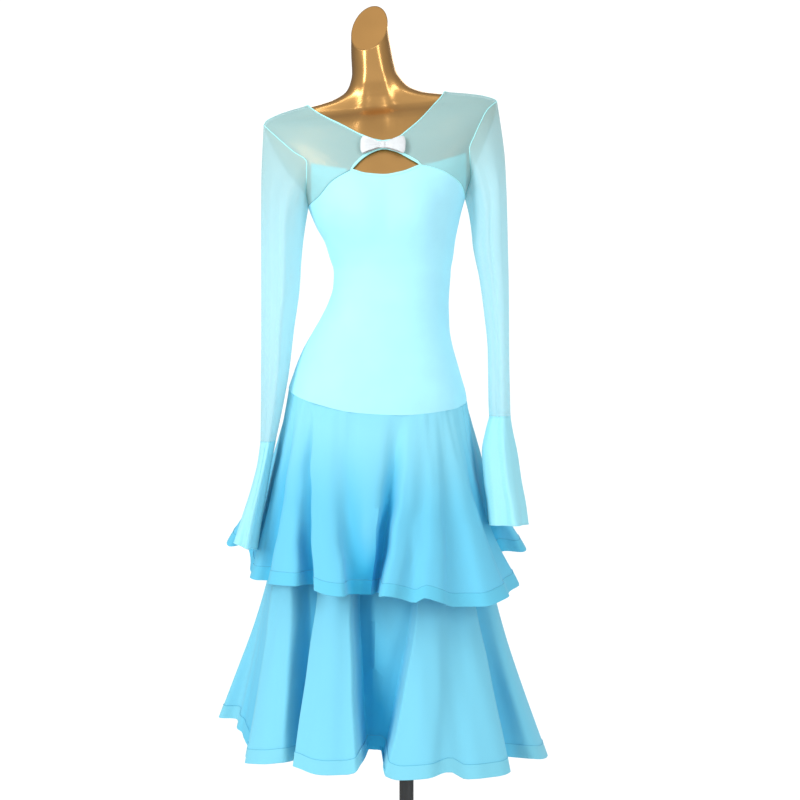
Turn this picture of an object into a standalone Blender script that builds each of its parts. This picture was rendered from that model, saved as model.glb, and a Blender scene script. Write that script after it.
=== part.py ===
"""Ballroom dance dress on a limbless display form with its stand.

The part stands in its own frame: +Z up, the front towards -Y, the origin at the middle of the stand's
underside. Tables and sizes are in millimetres and degrees. A ring angle of 0 is +X, 90 the back, 180 is
-X and 270 the front. Left and right in the names are the wearer's, so the left side is at +X.
"""
import math

import bmesh
import bpy
import numpy as np

MM = 0.001

# Sizes of the stand
BASE_RADIUS = 160.0
POLE_RADIUS = 12.5
POLE_FOOT = 22.0
FORM_FOOT = 620.0
TOUCH = 0.3

# Walls of cloth, as distances out from the form's skin
SEAM_HALF_GAP = 0.2
BODICE_WALL = (1.1, 2.3)
UNDERLAY_WALL = (-0.8, 0.2)
UNDERLAY_RISE = 2.4
MESH_WALL = 1.0
MESH_REST = 1.3
MESH_OVER_UNDERLAY = 2.9
MESH_STEP_HEIGHT = 1300.0
MESH_STEP_BLEND = 25.0
TIER_WALL = 1.2
LOWER_WALL = 1.1
LOWER_SKIRT_IN = 1.9
HEM_WALL = 2.0
BINDING_WIDTH = 7.0
KEYHOLE_BINDING_WIDTH = 5.0
NECK_BINDING_LIFT = 1.0
SHOULDER_BINDING_LIFTS = (2.0, 3.4, 2.6, 2.8, 2.0)
KEYHOLE_BINDING_LIFT = 0.4
KEYHOLE_CORNER_LIFT = 1.2
BINDING_WALL = 1.1

# Columns of the grids; the yoke's rows are the sleeve's half ring
BUST_SEAM_COLUMNS = 6
KEYHOLE_COLUMNS = 8
SHOULDER_COLUMNS = 4
NECK_COLUMNS = 12
YOKE_COLUMNS = 2 * SHOULDER_COLUMNS + NECK_COLUMNS
YOKE_ROWS = 10
YOKE_ROW_POWER = 1.5
YOKE_SIDE_REACH = 0.3
NECK_CROWD = 0.6
BACK_COLUMNS = 16
BACK_SHOULDER_COLUMNS = 3
BODICE_ROWS = 13
FORM_COLUMNS = 40


def smooth(knots, values, place):
    """Monotone cubic through the knots, which never overshoots a row."""
    place = np.clip(place, knots[0], knots[-1])
    gaps = np.diff(knots)
    slopes = np.diff(values) / gaps
    before, after = slopes[:-1], slopes[1:]
    same_way = before * after > 0
    total = np.where(same_way, before + after, 1.0)
    inner = np.where(same_way, 2 * before * after / total, 0.0)
    tangents = np.concatenate((slopes[:1], inner, slopes[-1:]))
    cell = np.clip(np.searchsorted(knots, place, side="right") - 1, 0, len(gaps) - 1)
    share = (place - knots[cell]) / gaps[cell]
    rest = 1 - share
    return (
        (1 + 2 * share) * rest**2 * values[cell]
        + share * rest**2 * gaps[cell] * tangents[cell]
        + share**2 * (3 - 2 * share) * values[cell + 1]
        - share**2 * rest * gaps[cell] * tangents[cell + 1]
    )


def step_up(share):
    """Smooth step from 0 to 1."""
    share = np.clip(share, 0.0, 1.0)
    return share * share * (3 - 2 * share)


class Table:
    """Rows under named columns, read smoothly at any value of the first column."""

    def __init__(self, columns, rows, turn=0.0):
        self.columns = columns.split()
        self.rows = np.array(rows, dtype=float)
        if turn:
            shift = np.zeros(self.rows.shape[1])
            shift[0] = turn
            self.rows = np.vstack((self.rows - shift, self.rows, self.rows + shift))

    def read(self, column, place):
        return smooth(self.rows[:, 0], self.rows[:, self.columns.index(column)], place)


# The figure, ring by ring; front and back are depths from centre_y, lean is the rise of a ring towards +X
FIGURE = Table(
    "height centre_x centre_y half_width front back squareness lean",
    (
        (600, -49, 10, 124, 82, 86, 2.2, 0.0),
        (700, -51, 10, 140, 90, 96, 2.2, 0.0),
        (780, -53, 11, 151, 97, 106, 2.25, 0.0),
        (850, -53, 12, 157, 102, 114, 2.3, 0.0),
        (903, -52, 8, 143.5, 97, 105, 2.3, 0.0),
        (938, -50, 6, 131.5, 92, 92, 2.3, 0.0),
        (973, -44, 4, 118, 87, 80, 2.25, 0.0),
        (1000, -37, 2, 109.5, 84, 74, 2.2, 0.0),
        (1026, -31, 0, 103, 81, 70, 2.2, 0.0),
        (1052, -26.5, 0, 100, 79, 68, 2.2, 0.0),
        (1079, -25, 0, 100.5, 80, 69, 2.2, 0.0),
        (1105, -26.5, 0, 106.5, 84, 73, 2.2, 0.004),
        (1132, -29, 0, 112.5, 90, 79, 2.25, 0.012),
        (1158, -33, 2, 122, 96, 84, 2.25, 0.024),
        (1184, -35, 4, 130.5, 99, 88, 2.3, 0.038),
        (1225, -36, 6, 145, 98, 92, 2.3, 0.064),
        (1265, -40, 8, 169, 90, 92, 2.3, 0.086),
        (1305, -43, 10, 190, 78, 88, 2.3, 0.092),
        (1335, -44, 12, 202, 64, 78, 2.2, 0.092),
        (1352, -45, 13, 206, 52, 66, 2.1, 0.092),
        (1362, -45, 14, 202, 43, 56, 2.0, 0.092),
        (1371, -45, 14, 182, 37, 50, 2.0, 0.092),
        (1377, -46, 14, 157, 36, 48, 2.0, 0.092),
        (1383, -47, 14, 121, 36, 46, 2.0, 0.092),
        (1389, -49, 14, 87, 38, 46, 2.0, 0.092),
        (1401, -51, 12, 57, 40, 46, 2.0, 0.092),
        (1412, -53, 10, 47.5, 42, 44, 2.0, 0.09),
        (1433, -57, 8, 39, 42, 42, 2.0, 0.08),
        (1466, -61.5, 3, 36, 40, 40, 2.0, 0.05),
        (1512, -65, -2, 32.5, 38, 38, 2.0, 0.02),
        (1600, -69, -8, 30, 35, 35, 2.0, 0.0),
    ),
)
BUST = {"across": 58.0, "height": 1174.0, "half_wide": 42.0, "half_tall": 50.0, "depth": 11.0}

# The neck ends in a flat oval that slopes up to the back and to the wearer's left
NECK_CUT_HEIGHT = 1510.0
NECK_CUT_SLOPE = 1.3
NECK_CUT_LEAN = 0.45
NECK_CENTRE_X = -65.0
FORM_HEIGHTS = (
    600, 690, 770, 840, 880, 915, 945, 975, 1005, 1035, 1065, 1095, 1125, 1150, 1175, 1200, 1225, 1250,
    1275, 1300, 1322, 1340, 1352, 1358, 1364, 1369, 1374, 1379, 1384, 1390, 1398, 1408, 1420, 1438,
)
FORM_INSET = Table(
    "height inset",
    ((600, 14), (780, 12), (840, 8), (870, 4.5), (910, 2.3), (1180, 2.3), (1215, 3.2), (1290, 3.2),
     (1340, 3.2), (1362, 4.2), (1389, 3.2), (1409, 0), (1600, 0)),
)

# Seams and edges as seen from the front, from the wearer's right to the left
TIP_HEIGHTS = (1356.0, 1360.0)
NECK_POINT_HEIGHTS = (1382.0, 1384.0)
ARMPIT_HEIGHTS = (1199.0, 1202.0)
ARMHOLE_FRONT = (
    ((-220, 1307), (-196, 1285), (-172, 1264), (-172, 1244), (-174, 1215)),
    ((140, 1360), (128.4, 1338), (117, 1313), (108, 1288), (109, 1270), (111, 1250), (110, 1228)),
)
ARMHOLE_BACK = (
    ((-224, 1312), (-205, 1287), (-192, 1264), (-184, 1240), (-177, 1215)),
    ((146, 1360), (136, 1338), (128, 1313), (123, 1288), (119, 1264), (112, 1235)),
)
NECKLINE = (
    (-145.2, 1348.7), (-110.2, 1329.5), (-77.2, 1311), (-40.6, 1300), (-17.6, 1304.8), (-0.2, 1318.1),
    (21.1, 1337), (42, 1361),
)
NECKLINE_BACK = ((-140, 1362), (-105, 1350), (-52, 1342), (2, 1352), (36, 1370))
BUST_SEAM = (
    ((-152.4, 1203.9), (-128.2, 1229.5), (-92.4, 1249.5)),
    ((21.5, 1257.2), (55.1, 1249.8), (78.8, 1238.8), (93.5, 1227)),
)
KEYHOLE_UPPER = ((-74.8, 1267.5), (-55.1, 1279.5), (-39.4, 1283.7), (-20, 1279.8), (-0.1, 1269.6))
KEYHOLE_LOWER = ((-70.8, 1242.4), (-39.3, 1239.8), (-8, 1245.2))
BACK_SEAM = ((-150, 1212), (-110, 1232), (-38, 1243), (40, 1240), (82, 1225))
UNDERLAY_TOP = (
    ((-165, 1263), (-133.8, 1255.9), (-103, 1250.5)),
    ((32, 1259), (48, 1262.5), (71, 1270.2), (103, 1282)),
)
HIP_SEAM = Table(
    "angle height",
    ((180, 876), (200, 866), (233, 846), (260, 831), (283, 827), (315, 834), (340, 843), (360, 853),
     (405, 870), (450, 880), (495, 882)),
    turn=360.0,
)

# The skirts: an oval at the hem, and ridges and valleys that run down between the two angles of a row
TIER_HEM_OVAL = {"x": -50.0, "y": 15.0, "half_x": 238.0, "half_y": 214.0}
TIER_FOLDS = (
    # top_angle, hem_angle, depth at mid-height, depth at the hem
    (10, 22, 2, 34), (36, 42, -12, -28), (55, 60, 12, 30), (74, 77, -14, -30), (92, 94, 12, 32),
    (110, 111, -14, -30), (128, 128, 12, 26), (143, 142, -10, -22), (158, 161, 6, 38), (180, 182, -8, -14),
    (196, 197, -10, -12), (205, 207, -1, 3), (210, 218, -10, -16), (216, 230, 8, 28), (226, 245.5, -15, -38),
    (231, 247.5, 10, 28), (238, 254, 14, 34), (256, 262, -8, -26), (272, 265.5, 4, -36),
    (283, 269, -26, -60), (290, 273, 15, 40), (301, 281, 6, 26), (306, 289, 13, 34),
    (312, 302, 0, 18), (319, 320, 12, 36), (333, 335, -8, 18), (350, 354, -18, -34),
)
TIER_HEM = Table(
    "angle height",
    ((22, 594), (45, 590), (94, 585), (128, 594), (160, 611), (170, 596), (182, 566), (197, 551), (210, 545),
     (232, 543), (244, 541), (250, 533), (256, 529), (262, 528), (268, 526), (273, 531), (279, 525),
     (284, 518), (287, 526), (292, 520), (301, 508), (311, 507), (322, 516), (333, 526), (341, 532),
     (352, 556), (364, 578)),
    turn=360.0,
)
LOWER_HEM_OVAL = {"x": -45.0, "y": 12.0, "half_x": 270.0, "half_y": 224.0}
LOWER_FOLDS = (
    (20, 20, -12, -28), (38, 38, 10, 28), (55, 55, -16, -34), (72, 72, 10, 30), (88, 88, -18, -36),
    (104, 104, 10, 30), (119, 119, -16, -32), (135, 135, 8, 24), (144, 145, -4, -4), (157, 160, 6, 34),
    (171, 174, -6, -14), (182, 184, -12, -30), (190, 196, -12, -34), (196, 209, -8, -14),
    (200, 226, 9, 26), (210, 235, 6, 20), (217, 238.5, -32, -62), (238, 241, -30, -60), (241, 242, 11, 38),
    (247, 252, 17, 46), (252, 262, 13, 40), (256, 264.5, -42, -82), (284, 269, -16, -78),
    (305, 270.5, -16, -72), (308, 272, 13, 40), (314, 281, 17, 44), (320, 294, 8, 30), (326, 309, 13, 38),
    (336, 327, -24, -46), (346, 350, 4, 24),
)
LOWER_HEM = Table(
    "angle height",
    ((20, 232), (104, 236), (145, 258), (160, 284), (168, 282), (174, 276), (184, 262), (196, 246),
     (209, 238), (228, 244), (239, 250), (252, 239),
     (260, 240), (262.5, 244), (264.5, 261), (270.5, 261), (272, 238), (276, 232), (285, 234), (293, 240),
     (299, 226), (310, 226),
     (320, 231), (327, 240), (350, 230)),
    turn=360.0,
)
FOLD_STEP = 7.0
HEM_MM_PER_DEGREE = 4.0
RIDGE_BREADTH = 1.3
FOLD_STEEPNESS = 0.75
MID_SHARE = 0.55
TIER_ROWS = (0.0, 0.14, 0.3, 0.46, 0.62, 0.78, 0.92, 1.0)
LOWER_ROWS = (0.0, 0.12, 0.26, 0.38, 0.5, 0.62, 0.74, 0.86, 0.96, 1.0)
TIER_SPREAD = 1.1
LOWER_SPREAD = 1.5

# The sleeves hang as empty tubes; the outer and inner edges are as seen from the front
SLEEVE_COLUMNS = "height outer_x inner_x centre_y half_depth"
SLEEVES = {
    "right": Table(
        SLEEVE_COLUMNS,
        ((780, -254.6, -229, -24, 36), (850, -254.6, -215, -16, 42), (903, -255, -206, -10, 46),
         (973, -255, -198, -4, 49), (1060, -255.5, -187, 2, 52), (1180, -256, -183, 5, 55),
         (1345, -255, -180, 8, 58)),
    ),
    "left": Table(
        SLEEVE_COLUMNS,
        ((824, 182, 144.5, -20, 38), (850, 181.5, 143.4, -17, 41), (938, 180.4, 142.5, -8, 46),
         (1008, 180.4, 136, -2, 49), (1061, 180, 129, 2, 51), (1132, 178.6, 117.5, 4, 53),
         (1202, 177, 119, 6, 56), (1345, 170, 112, 8, 58)),
    ),
}
CUFFS = {
    "right": Table(
        SLEEVE_COLUMNS,
        ((603, -295, -259, -66, 58), (650, -283, -252, -56, 50), (700, -269, -243, -44, 43),
         (744, -259, -236, -33, 38), (779.2, -254.6, -229, -24, 36)),
    ),
    "left": Table(
        SLEEVE_COLUMNS,
        ((638, 210, 142, -46, 54), (674, 206, 139, -41, 49), (709, 200, 134, -35, 45),
         (762, 193, 131, -27, 40), (800, 185.5, 138, -22, 38), (823.2, 182, 144.5, -20, 38)),
    ),
}
CUFF_HEM_SLOPE = {"right": -0.35, "left": 0.0}
SLEEVE_ROWS = (0.0, 0.05, 0.11, 0.19, 0.28, 0.38, 0.5, 0.62, 0.75, 0.88, 1.0)
SLEEVE_BLEND = 110.0
SLEEVE_SEAM_GAP = (2.7, 2.2)
SLEEVE_FOLD_STEP = 36.0
SLEEVE_FOLDS = (
    (0, 0, 0, 0), (36, 36, -3, -2), (72, 72, 2, 2), (108, 108, -4, -2), (144, 144, 1, 1),
    (180, 180, 0, 0), (216, 216, 1, 1), (252, 252, -3, -3), (288, 288, 3, 2), (324, 324, -4, -2),
)
CUFF_FOLDS = (
    (0, 0, 1, 2), (36, 36, -2, -6), (72, 72, 2, 5), (108, 108, -2, -7), (144, 144, 2, 5),
    (180, 180, -1, -2), (216, 216, 1, 4), (252, 252, -2, -8), (288, 288, 2, 6), (324, 324, -2, -6),
)
CUFF_ROWS = (0.0, 0.22, 0.48, 0.75, 1.0)

# The bow: each loop is a ribbon laid back on itself
BOW_PLACE = (-40.5, 1289.5)
BOW_LIFT = 6.8
BOW_LOOP = (
    # along, in front of the back layer, half the ribbon's width
    (6.4, 3.9, 7.4), (12, 4.9, 9.0), (20, 5.8, 12.0), (29, 5.8, 14.4), (35, 4.6, 15.2), (37.4, 2.6, 15.2),
    (35.6, 0.9, 15.0), (29, 0.5, 14.2), (20, 0.4, 11.8), (12, 0.6, 8.8), (6.4, 1.0, 7.2),
)
BOW_WALL = 1.0
BOW_RIBBON_ROWS = (-1.0, -0.5, 0.0, 0.5, 1.0)
BOW_CREASE = 0.9
BOW_KNOT = {"half_x": 5.9, "half_y": 4.6, "half_z": 9.0}

LOOKS = {
    # name: (colour, roughness, metallic, transmission)
    "gold_lacquer": ((0.55, 0.31, 0.11), 0.16, 0.85, 0.0),
    "black_enamel": ((0.02, 0.02, 0.02), 0.35, 0.3, 0.0),
    "aqua_stretch_knit": ((0.50, 0.90, 1.0), 0.6, 0.0, 0.0),
    "aqua_sheer_mesh": ((0.45, 0.85, 0.90), 0.7, 0.0, 0.4),
    "aqua_georgette": ((0.32, 0.74, 0.95), 0.75, 0.0, 0.0),
    "white_satin": ((0.90, 0.91, 0.93), 0.4, 0.0, 0.0),
}


def skin(angle, height):
    """Points of the form's skin at ring angles and heights."""
    turn = np.radians(angle)
    cosine, sine = np.cos(turn), np.sin(turn)
    power = 2 / FIGURE.read("squareness", height)
    across = FIGURE.read("half_width", height) * np.sign(cosine) * np.abs(cosine) ** power
    depth = np.where(sine < 0, FIGURE.read("front", height), FIGURE.read("back", height))
    y = FIGURE.read("centre_y", height) + depth * np.sign(sine) * np.abs(sine) ** power
    beside = (np.abs(across) - BUST["across"]) / BUST["half_wide"]
    above = (height - BUST["height"]) / BUST["half_tall"]
    y = y - np.where(sine < 0, BUST["depth"] * np.exp(-(beside**2) - above**2) * np.abs(sine), 0.0)
    x = FIGURE.read("centre_x", height) + across
    z = height + FIGURE.read("lean", height) * across
    return np.stack((x, y, z), axis=-1)


def unit(vectors):
    return vectors / np.maximum(np.linalg.norm(vectors, axis=-1, keepdims=True), 1e-9)


def figure(angle, height, out):
    """Points at a distance out from the skin."""
    angle, height = np.broadcast_arrays(np.asarray(angle, float), np.asarray(height, float))
    step = 0.4
    around = skin(angle + step, height) - skin(angle - step, height)
    upward = skin(angle, height + step) - skin(angle, height - step)
    return skin(angle, height) + np.asarray(out)[..., None] * unit(np.cross(around, upward))


def ring_place(x, z, front):
    """Ring angle and height of the skin seen at x, z from the front, on its front or its back."""
    height = np.array(z, float)
    for _ in range(20):
        across = x - FIGURE.read("centre_x", height)
        height = z - FIGURE.read("lean", height) * across
    share = np.clip(np.abs(across) / FIGURE.read("half_width", height), 0, 1)
    cosine = np.sign(across) * share ** (FIGURE.read("squareness", height) / 2)
    turn = np.degrees(np.arccos(np.clip(cosine, -1, 1)))
    return np.stack((360 - turn if front else turn, height), axis=-1)


def side_point(angle, height):
    """The front-view x and z of a point on the figure's side line."""
    point = skin(np.array(float(angle)), np.array(float(height)))
    return point[0], point[2]


def run_length(points):
    return np.concatenate(([0.0], np.cumsum(np.linalg.norm(np.diff(points, axis=0), axis=1))))


def edge(points, count, front=True, crowd=0.0):
    """Front-view points of a seam, made a smooth curve on the skin and spaced along it.

    A crowd of 0 spaces them evenly; nearer 1 they stand closer towards both ends.
    """
    points = np.array(points, float)
    length = run_length(points)
    fine = np.linspace(0, length[-1], 160)
    x, z = (smooth(length, points[:, k], fine) for k in (0, 1))
    place = ring_place(x, z, front)
    on_skin = run_length(skin(place[:, 0], place[:, 1]))
    share = np.linspace(0, 1, count + 1)
    wanted = on_skin[-1] * (share - crowd * np.sin(2 * math.pi * share) / (2 * math.pi))
    return np.stack((np.interp(wanted, on_skin, x), np.interp(wanted, on_skin, z)), axis=-1)


def side_edge(angle, low, high, count, power=1.0):
    """The figure's side line between two heights."""
    share = np.linspace(0, 1, count + 1) ** power
    line = skin(np.full(count + 1, float(angle)), low + (high - low) * share)
    return line[:, (0, 2)]


def joined(*edges):
    """Edges end to end, with each shared corner once."""
    return np.vstack([edges[0]] + [each[1:] for each in edges[1:]])


def filled(bottom, top, left, right, reach=1.0, power=1.0):
    """A grid between four edges that share their corners, rows from the bottom up.

    The columns run straight from the bottom to the top edge, and bend with a side edge only
    within its reach, a share of the width.
    """
    s = np.linspace(0, 1, len(bottom))[None, :, None]
    v = 1 - (1 - np.linspace(0, 1, len(left))) ** power
    v = v[:, None, None]
    straight = (1 - v) * bottom[None] + v * top[None]
    bend_left = left[:, None] - straight[:, :1]
    bend_right = right[:, None] - straight[:, -1:]
    return straight + step_up(1 - s / reach) * bend_left + step_up(1 - (1 - s) / reach) * bend_right


def drawn_in(points, by, sides="lrbt"):
    """The grid with its named border rows and columns moved in a little, for the gap at a seam."""
    points = points.copy()
    if "l" in sides:
        points[:, 0] += by * unit(points[:, 1] - points[:, 0])
    if "r" in sides:
        points[:, -1] += by * unit(points[:, -2] - points[:, -1])
    if "b" in sides:
        points[0] += by * unit(points[1] - points[0])
    if "t" in sides:
        points[-1] += by * unit(points[-2] - points[-1])
    return points


def grid_normals(points, closed):
    """Outward normals of a grid whose columns run round by rising angle and whose rows run up."""
    if closed:
        around = np.roll(points, -1, axis=1) - np.roll(points, 1, axis=1)
    else:
        around = np.gradient(points, axis=1)
    return unit(np.cross(around, np.gradient(points, axis=0)))


def wall(name, look, inner, outer, closed=False):
    """A closed wall lofted between an inner and an outer grid of points."""
    rows, columns = inner.shape[:2]
    facing = np.cross(np.gradient(outer, axis=1), np.gradient(outer, axis=0)) * (outer - inner)
    if facing.sum() < 0:
        inner, outer = inner[:, ::-1], outer[:, ::-1]
    mesh = bmesh.new()
    corner = [
        [[mesh.verts.new(point * MM) for point in row] for row in grid] for grid in (inner, outer)
    ]
    last = columns if closed else columns - 1
    for side, grid in enumerate(corner):
        for j in range(rows - 1):
            for i in range(last):
                k = (i + 1) % columns
                face = (grid[j][i], grid[j][k], grid[j + 1][k], grid[j + 1][i])
                mesh.faces.new(face if side else (face[0], *face[:0:-1]))
    for i in range(last):
        k = (i + 1) % columns
        mesh.faces.new((corner[0][0][i], corner[0][0][k], corner[1][0][k], corner[1][0][i]))
        mesh.faces.new((corner[1][-1][i], corner[1][-1][k], corner[0][-1][k], corner[0][-1][i]))
    if not closed:
        for j in range(rows - 1):
            mesh.faces.new((corner[0][j][0], corner[1][j][0], corner[1][j + 1][0], corner[0][j + 1][0]))
            mesh.faces.new((corner[1][j][-1], corner[0][j][-1], corner[0][j + 1][-1], corner[1][j + 1][-1]))
    return finish(name, look, mesh)


def finish(name, look, mesh):
    """Puts a bmesh into the dress's collection as a named object with its own material."""
    data = bpy.data.meshes.new(name)
    mesh.to_mesh(data)
    mesh.free()
    thing = bpy.data.objects.new(name, data)
    bpy.data.collections["ballroom_dance_dress"].objects.link(thing)
    dress_material(thing, look)
    return thing


def dress_material(thing, look):
    colour, roughness, metallic, transmission = LOOKS[look]
    material = bpy.data.materials.new(thing.name + "_" + look)
    material.use_nodes = True
    shader = material.node_tree.nodes["Principled BSDF"]
    shader.inputs["Base Color"].default_value = (*colour, 1.0)
    shader.inputs["Roughness"].default_value = roughness
    shader.inputs["Metallic"].default_value = metallic
    shader.inputs["Transmission Weight"].default_value = transmission
    thing.data.materials.append(material)


def make_form():
    """The limbless body: a loft of rings, flat below and cut to a sloping oval at the neck."""
    angles = np.arange(FORM_COLUMNS) * 360.0 / FORM_COLUMNS
    heights = np.array(FORM_HEIGHTS, float)
    heights[0] = FORM_FOOT
    rings = [
        figure(angles, np.full(FORM_COLUMNS, height), -FORM_INSET.read("inset", height)) for height in heights
    ]
    rings[0][:, 2] = FORM_FOOT
    top_heights = np.full(FORM_COLUMNS, NECK_CUT_HEIGHT)
    for _ in range(12):
        top = skin(angles, top_heights)
        cut = NECK_CUT_HEIGHT + NECK_CUT_SLOPE * top[:, 1] + NECK_CUT_LEAN * (top[:, 0] - NECK_CENTRE_X)
        top_heights = top_heights + (cut - top[:, 2])
    top = skin(angles, top_heights)
    rings.append(skin(angles, (heights[-1] + top_heights) / 2))
    rings.append(top)
    mesh = bmesh.new()
    corners = [[mesh.verts.new(point * MM) for point in ring] for ring in rings]
    for lower, upper in zip(corners, corners[1:]):
        for i in range(FORM_COLUMNS):
            k = (i + 1) % FORM_COLUMNS
            mesh.faces.new((lower[i], lower[k], upper[k], upper[i]))
    mesh.faces.new(corners[0][::-1])
    mesh.faces.new(corners[-1])
    return finish("form_body", "gold_lacquer", mesh)


def make_stand():
    """A turned base plate with a boss, and the pole from the boss to the form."""
    profile = (
        (0, POLE_FOOT), (24, POLE_FOOT), (28, 18), (32, 10), (148, 8), (157, 6), (BASE_RADIUS, 3),
        (BASE_RADIUS, 0), (0, 0),
    )
    mesh = bmesh.new()
    points = [mesh.verts.new((radius * MM, 0.0, height * MM)) for radius, height in profile]
    for first, second in zip(points, points[1:]):
        mesh.edges.new((first, second))
    base = finish("stand_base", "black_enamel", mesh)
    screw = base.modifiers.new("turned", "SCREW")
    screw.steps = screw.render_steps = 36
    screw.use_merge_vertices = True
    screw.merge_threshold = 0.0001
    low, high = POLE_FOOT + TOUCH, FORM_FOOT - TOUCH
    bpy.ops.mesh.primitive_cylinder_add(
        vertices=24, radius=POLE_RADIUS * MM, depth=(high - low) * MM,
        location=(0.0, 0.0, (low + high) / 2 * MM),
    )
    pole = bpy.context.object
    pole.name = pole.data.name = "stand_pole"
    for collection in list(pole.users_collection):
        collection.objects.unlink(pole)
    bpy.data.collections["ballroom_dance_dress"].objects.link(pole)
    dress_material(pole, "black_enamel")


def armhole(side, front, count):
    """One half of an armhole, from the armpit up to the shoulder tip, in the front view."""
    angle = (180, 360)[side]
    line = (ARMHOLE_FRONT if front else ARMHOLE_BACK)[side]
    points = (side_point(angle, TIP_HEIGHTS[side]), *line, side_point(angle, ARMPIT_HEIGHTS[side]))
    return edge(points, count, front)[::-1]


def bust_seam(side):
    """The seam between a side of the yoke and the bodice, by rising x."""
    armpit = side_point((180, 360)[side], ARMPIT_HEIGHTS[side])
    points = (armpit, *BUST_SEAM[0]) if side == 0 else (*BUST_SEAM[1], armpit)
    return edge(points, BUST_SEAM_COLUMNS)


def front_top_edge(keyhole):
    """The top of the front bodice, or the bottom of the front yoke, across one edge of the keyhole."""
    corners = BUST_SEAM[0][-1], BUST_SEAM[1][0]
    middle = edge((corners[0], *keyhole, corners[1]), KEYHOLE_COLUMNS)
    return joined(bust_seam(0), middle, bust_seam(1))


def back_seam():
    ends = [side_point((180, 360)[side], ARMPIT_HEIGHTS[side]) for side in (0, 1)]
    return edge((ends[0], *BACK_SEAM, ends[1]), BACK_COLUMNS, front=False)


def shoulder_and_neck(front):
    """The yoke's top edge: up one shoulder, round the neckline and down the other shoulder."""
    shoulder = SHOULDER_COLUMNS if front else BACK_SHOULDER_COLUMNS
    neck = NECK_COLUMNS if front else BACK_COLUMNS - 2 * BACK_SHOULDER_COLUMNS
    right = side_edge(180, TIP_HEIGHTS[0], NECK_POINT_HEIGHTS[0], shoulder)
    left = side_edge(360, TIP_HEIGHTS[1], NECK_POINT_HEIGHTS[1], shoulder)[::-1]
    line = NECKLINE if front else NECKLINE_BACK
    return joined(right, edge((right[-1], *line, left[0]), neck, front, NECK_CROWD), left)


def mesh_lift(grid, front):
    """How far the sheer cloth stands off the skin: it rests on the shoulder and clears the underlay."""
    if not front:
        return np.full(grid.shape[:2], MESH_REST)
    share = step_up((MESH_STEP_HEIGHT + MESH_STEP_BLEND - grid[..., 1]) / (2 * MESH_STEP_BLEND))
    return MESH_REST + (MESH_OVER_UNDERLAY - MESH_REST) * share


def laid(name, look, places, low, high, sides="lrbt"):
    """A panel on the skin between two distances out; returns its outer points."""
    inner = drawn_in(figure(places[..., 0], places[..., 1], low), SEAM_HALF_GAP, sides)
    outer = drawn_in(figure(places[..., 0], places[..., 1], high), SEAM_HALF_GAP, sides)
    wall(name, look, inner, outer)
    return outer


def make_yoke(front):
    bottom = front_top_edge(KEYHOLE_UPPER) if front else back_seam()
    sides = [armhole(side, front, YOKE_ROWS) for side in (0, 1)]
    grid = filled(bottom, shoulder_and_neck(front), *sides, YOKE_SIDE_REACH, YOKE_ROW_POWER)
    places = ring_place(grid[..., 0], grid[..., 1], front)
    low = mesh_lift(grid, front)
    name = "yoke_front" if front else "yoke_back"
    return laid(name, "aqua_sheer_mesh", places, low, low + MESH_WALL)


def side_seam(side, count):
    """Ring angles and heights up a side seam of the bodice."""
    angle = (180.0, 360.0)[side]
    heights = np.linspace(HIP_SEAM.read("height", angle), ARMPIT_HEIGHTS[side], count + 1)
    return np.stack((np.full(count + 1, angle), heights), axis=-1)


def make_bodice(front):
    top = front_top_edge(KEYHOLE_LOWER) if front else back_seam()
    top = ring_place(top[:, 0], top[:, 1], front)
    sides = [side_seam(side, BODICE_ROWS) for side in (0, 1)]
    if not front:
        sides[1] = sides[1] - (360.0, 0.0)
    top[0], top[-1] = sides[0][-1], sides[1][-1]
    angles = np.linspace(sides[0][0][0], sides[1][0][0], len(top))
    bottom = np.stack((angles, HIP_SEAM.read("height", angles)), axis=-1)
    bottom[0], bottom[-1] = sides[0][0], sides[1][0]
    places = filled(bottom, top, *sides)
    if not front:
        places = places[:, ::-1]
    name = "bodice_front" if front else "bodice_back"
    return laid(name, "aqua_stretch_knit", places, *BODICE_WALL)


def make_underlay(side):
    """The opaque triangle behind the sheer cloth, between the bust seam and its own top line."""
    columns, rows = 8, 5
    seam = bust_seam(side)
    seam = seam[:-1] if side == 0 else seam[1:]
    line = UNDERLAY_TOP[side]
    top = edge(line, columns)
    low = np.stack((top[:, 0], np.interp(top[:, 0], seam[:, 0], seam[:, 1]) + UNDERLAY_RISE), axis=-1)
    low = edge([tuple(point) for point in low], columns)
    share = np.linspace(0, 1, rows + 1)[:, None]
    grid = (1 - share[..., None]) * low[None] + share[..., None] * top[None]
    places = ring_place(grid[..., 0], grid[..., 1], True)
    laid(("underlay_right", "underlay_left")[side], "aqua_stretch_knit", places, *UNDERLAY_WALL)


def walk(column, distance):
    """The point at a distance along a column of points."""
    length = run_length(column)
    return np.array([np.interp(distance, length, column[:, k]) for k in range(3)])


def strip(name, points, lift):
    """A closed narrow band that lies on panels: a grid of their own points, moved out."""
    normals = grid_normals(points, closed=True)
    normals = unit(np.roll(normals, 1, axis=1) + 2 * normals + np.roll(normals, -1, axis=1))
    low = points + normals * lift
    wall(name, "aqua_stretch_knit", low, low + normals * BINDING_WALL, closed=True)


def band_rows(columns, width):
    """Points across a band at its far edge, its middle and its near edge, down each column."""
    return np.array([[walk(column, width * share) for column in columns] for share in (1.0, 0.5, 0.0)])


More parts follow.
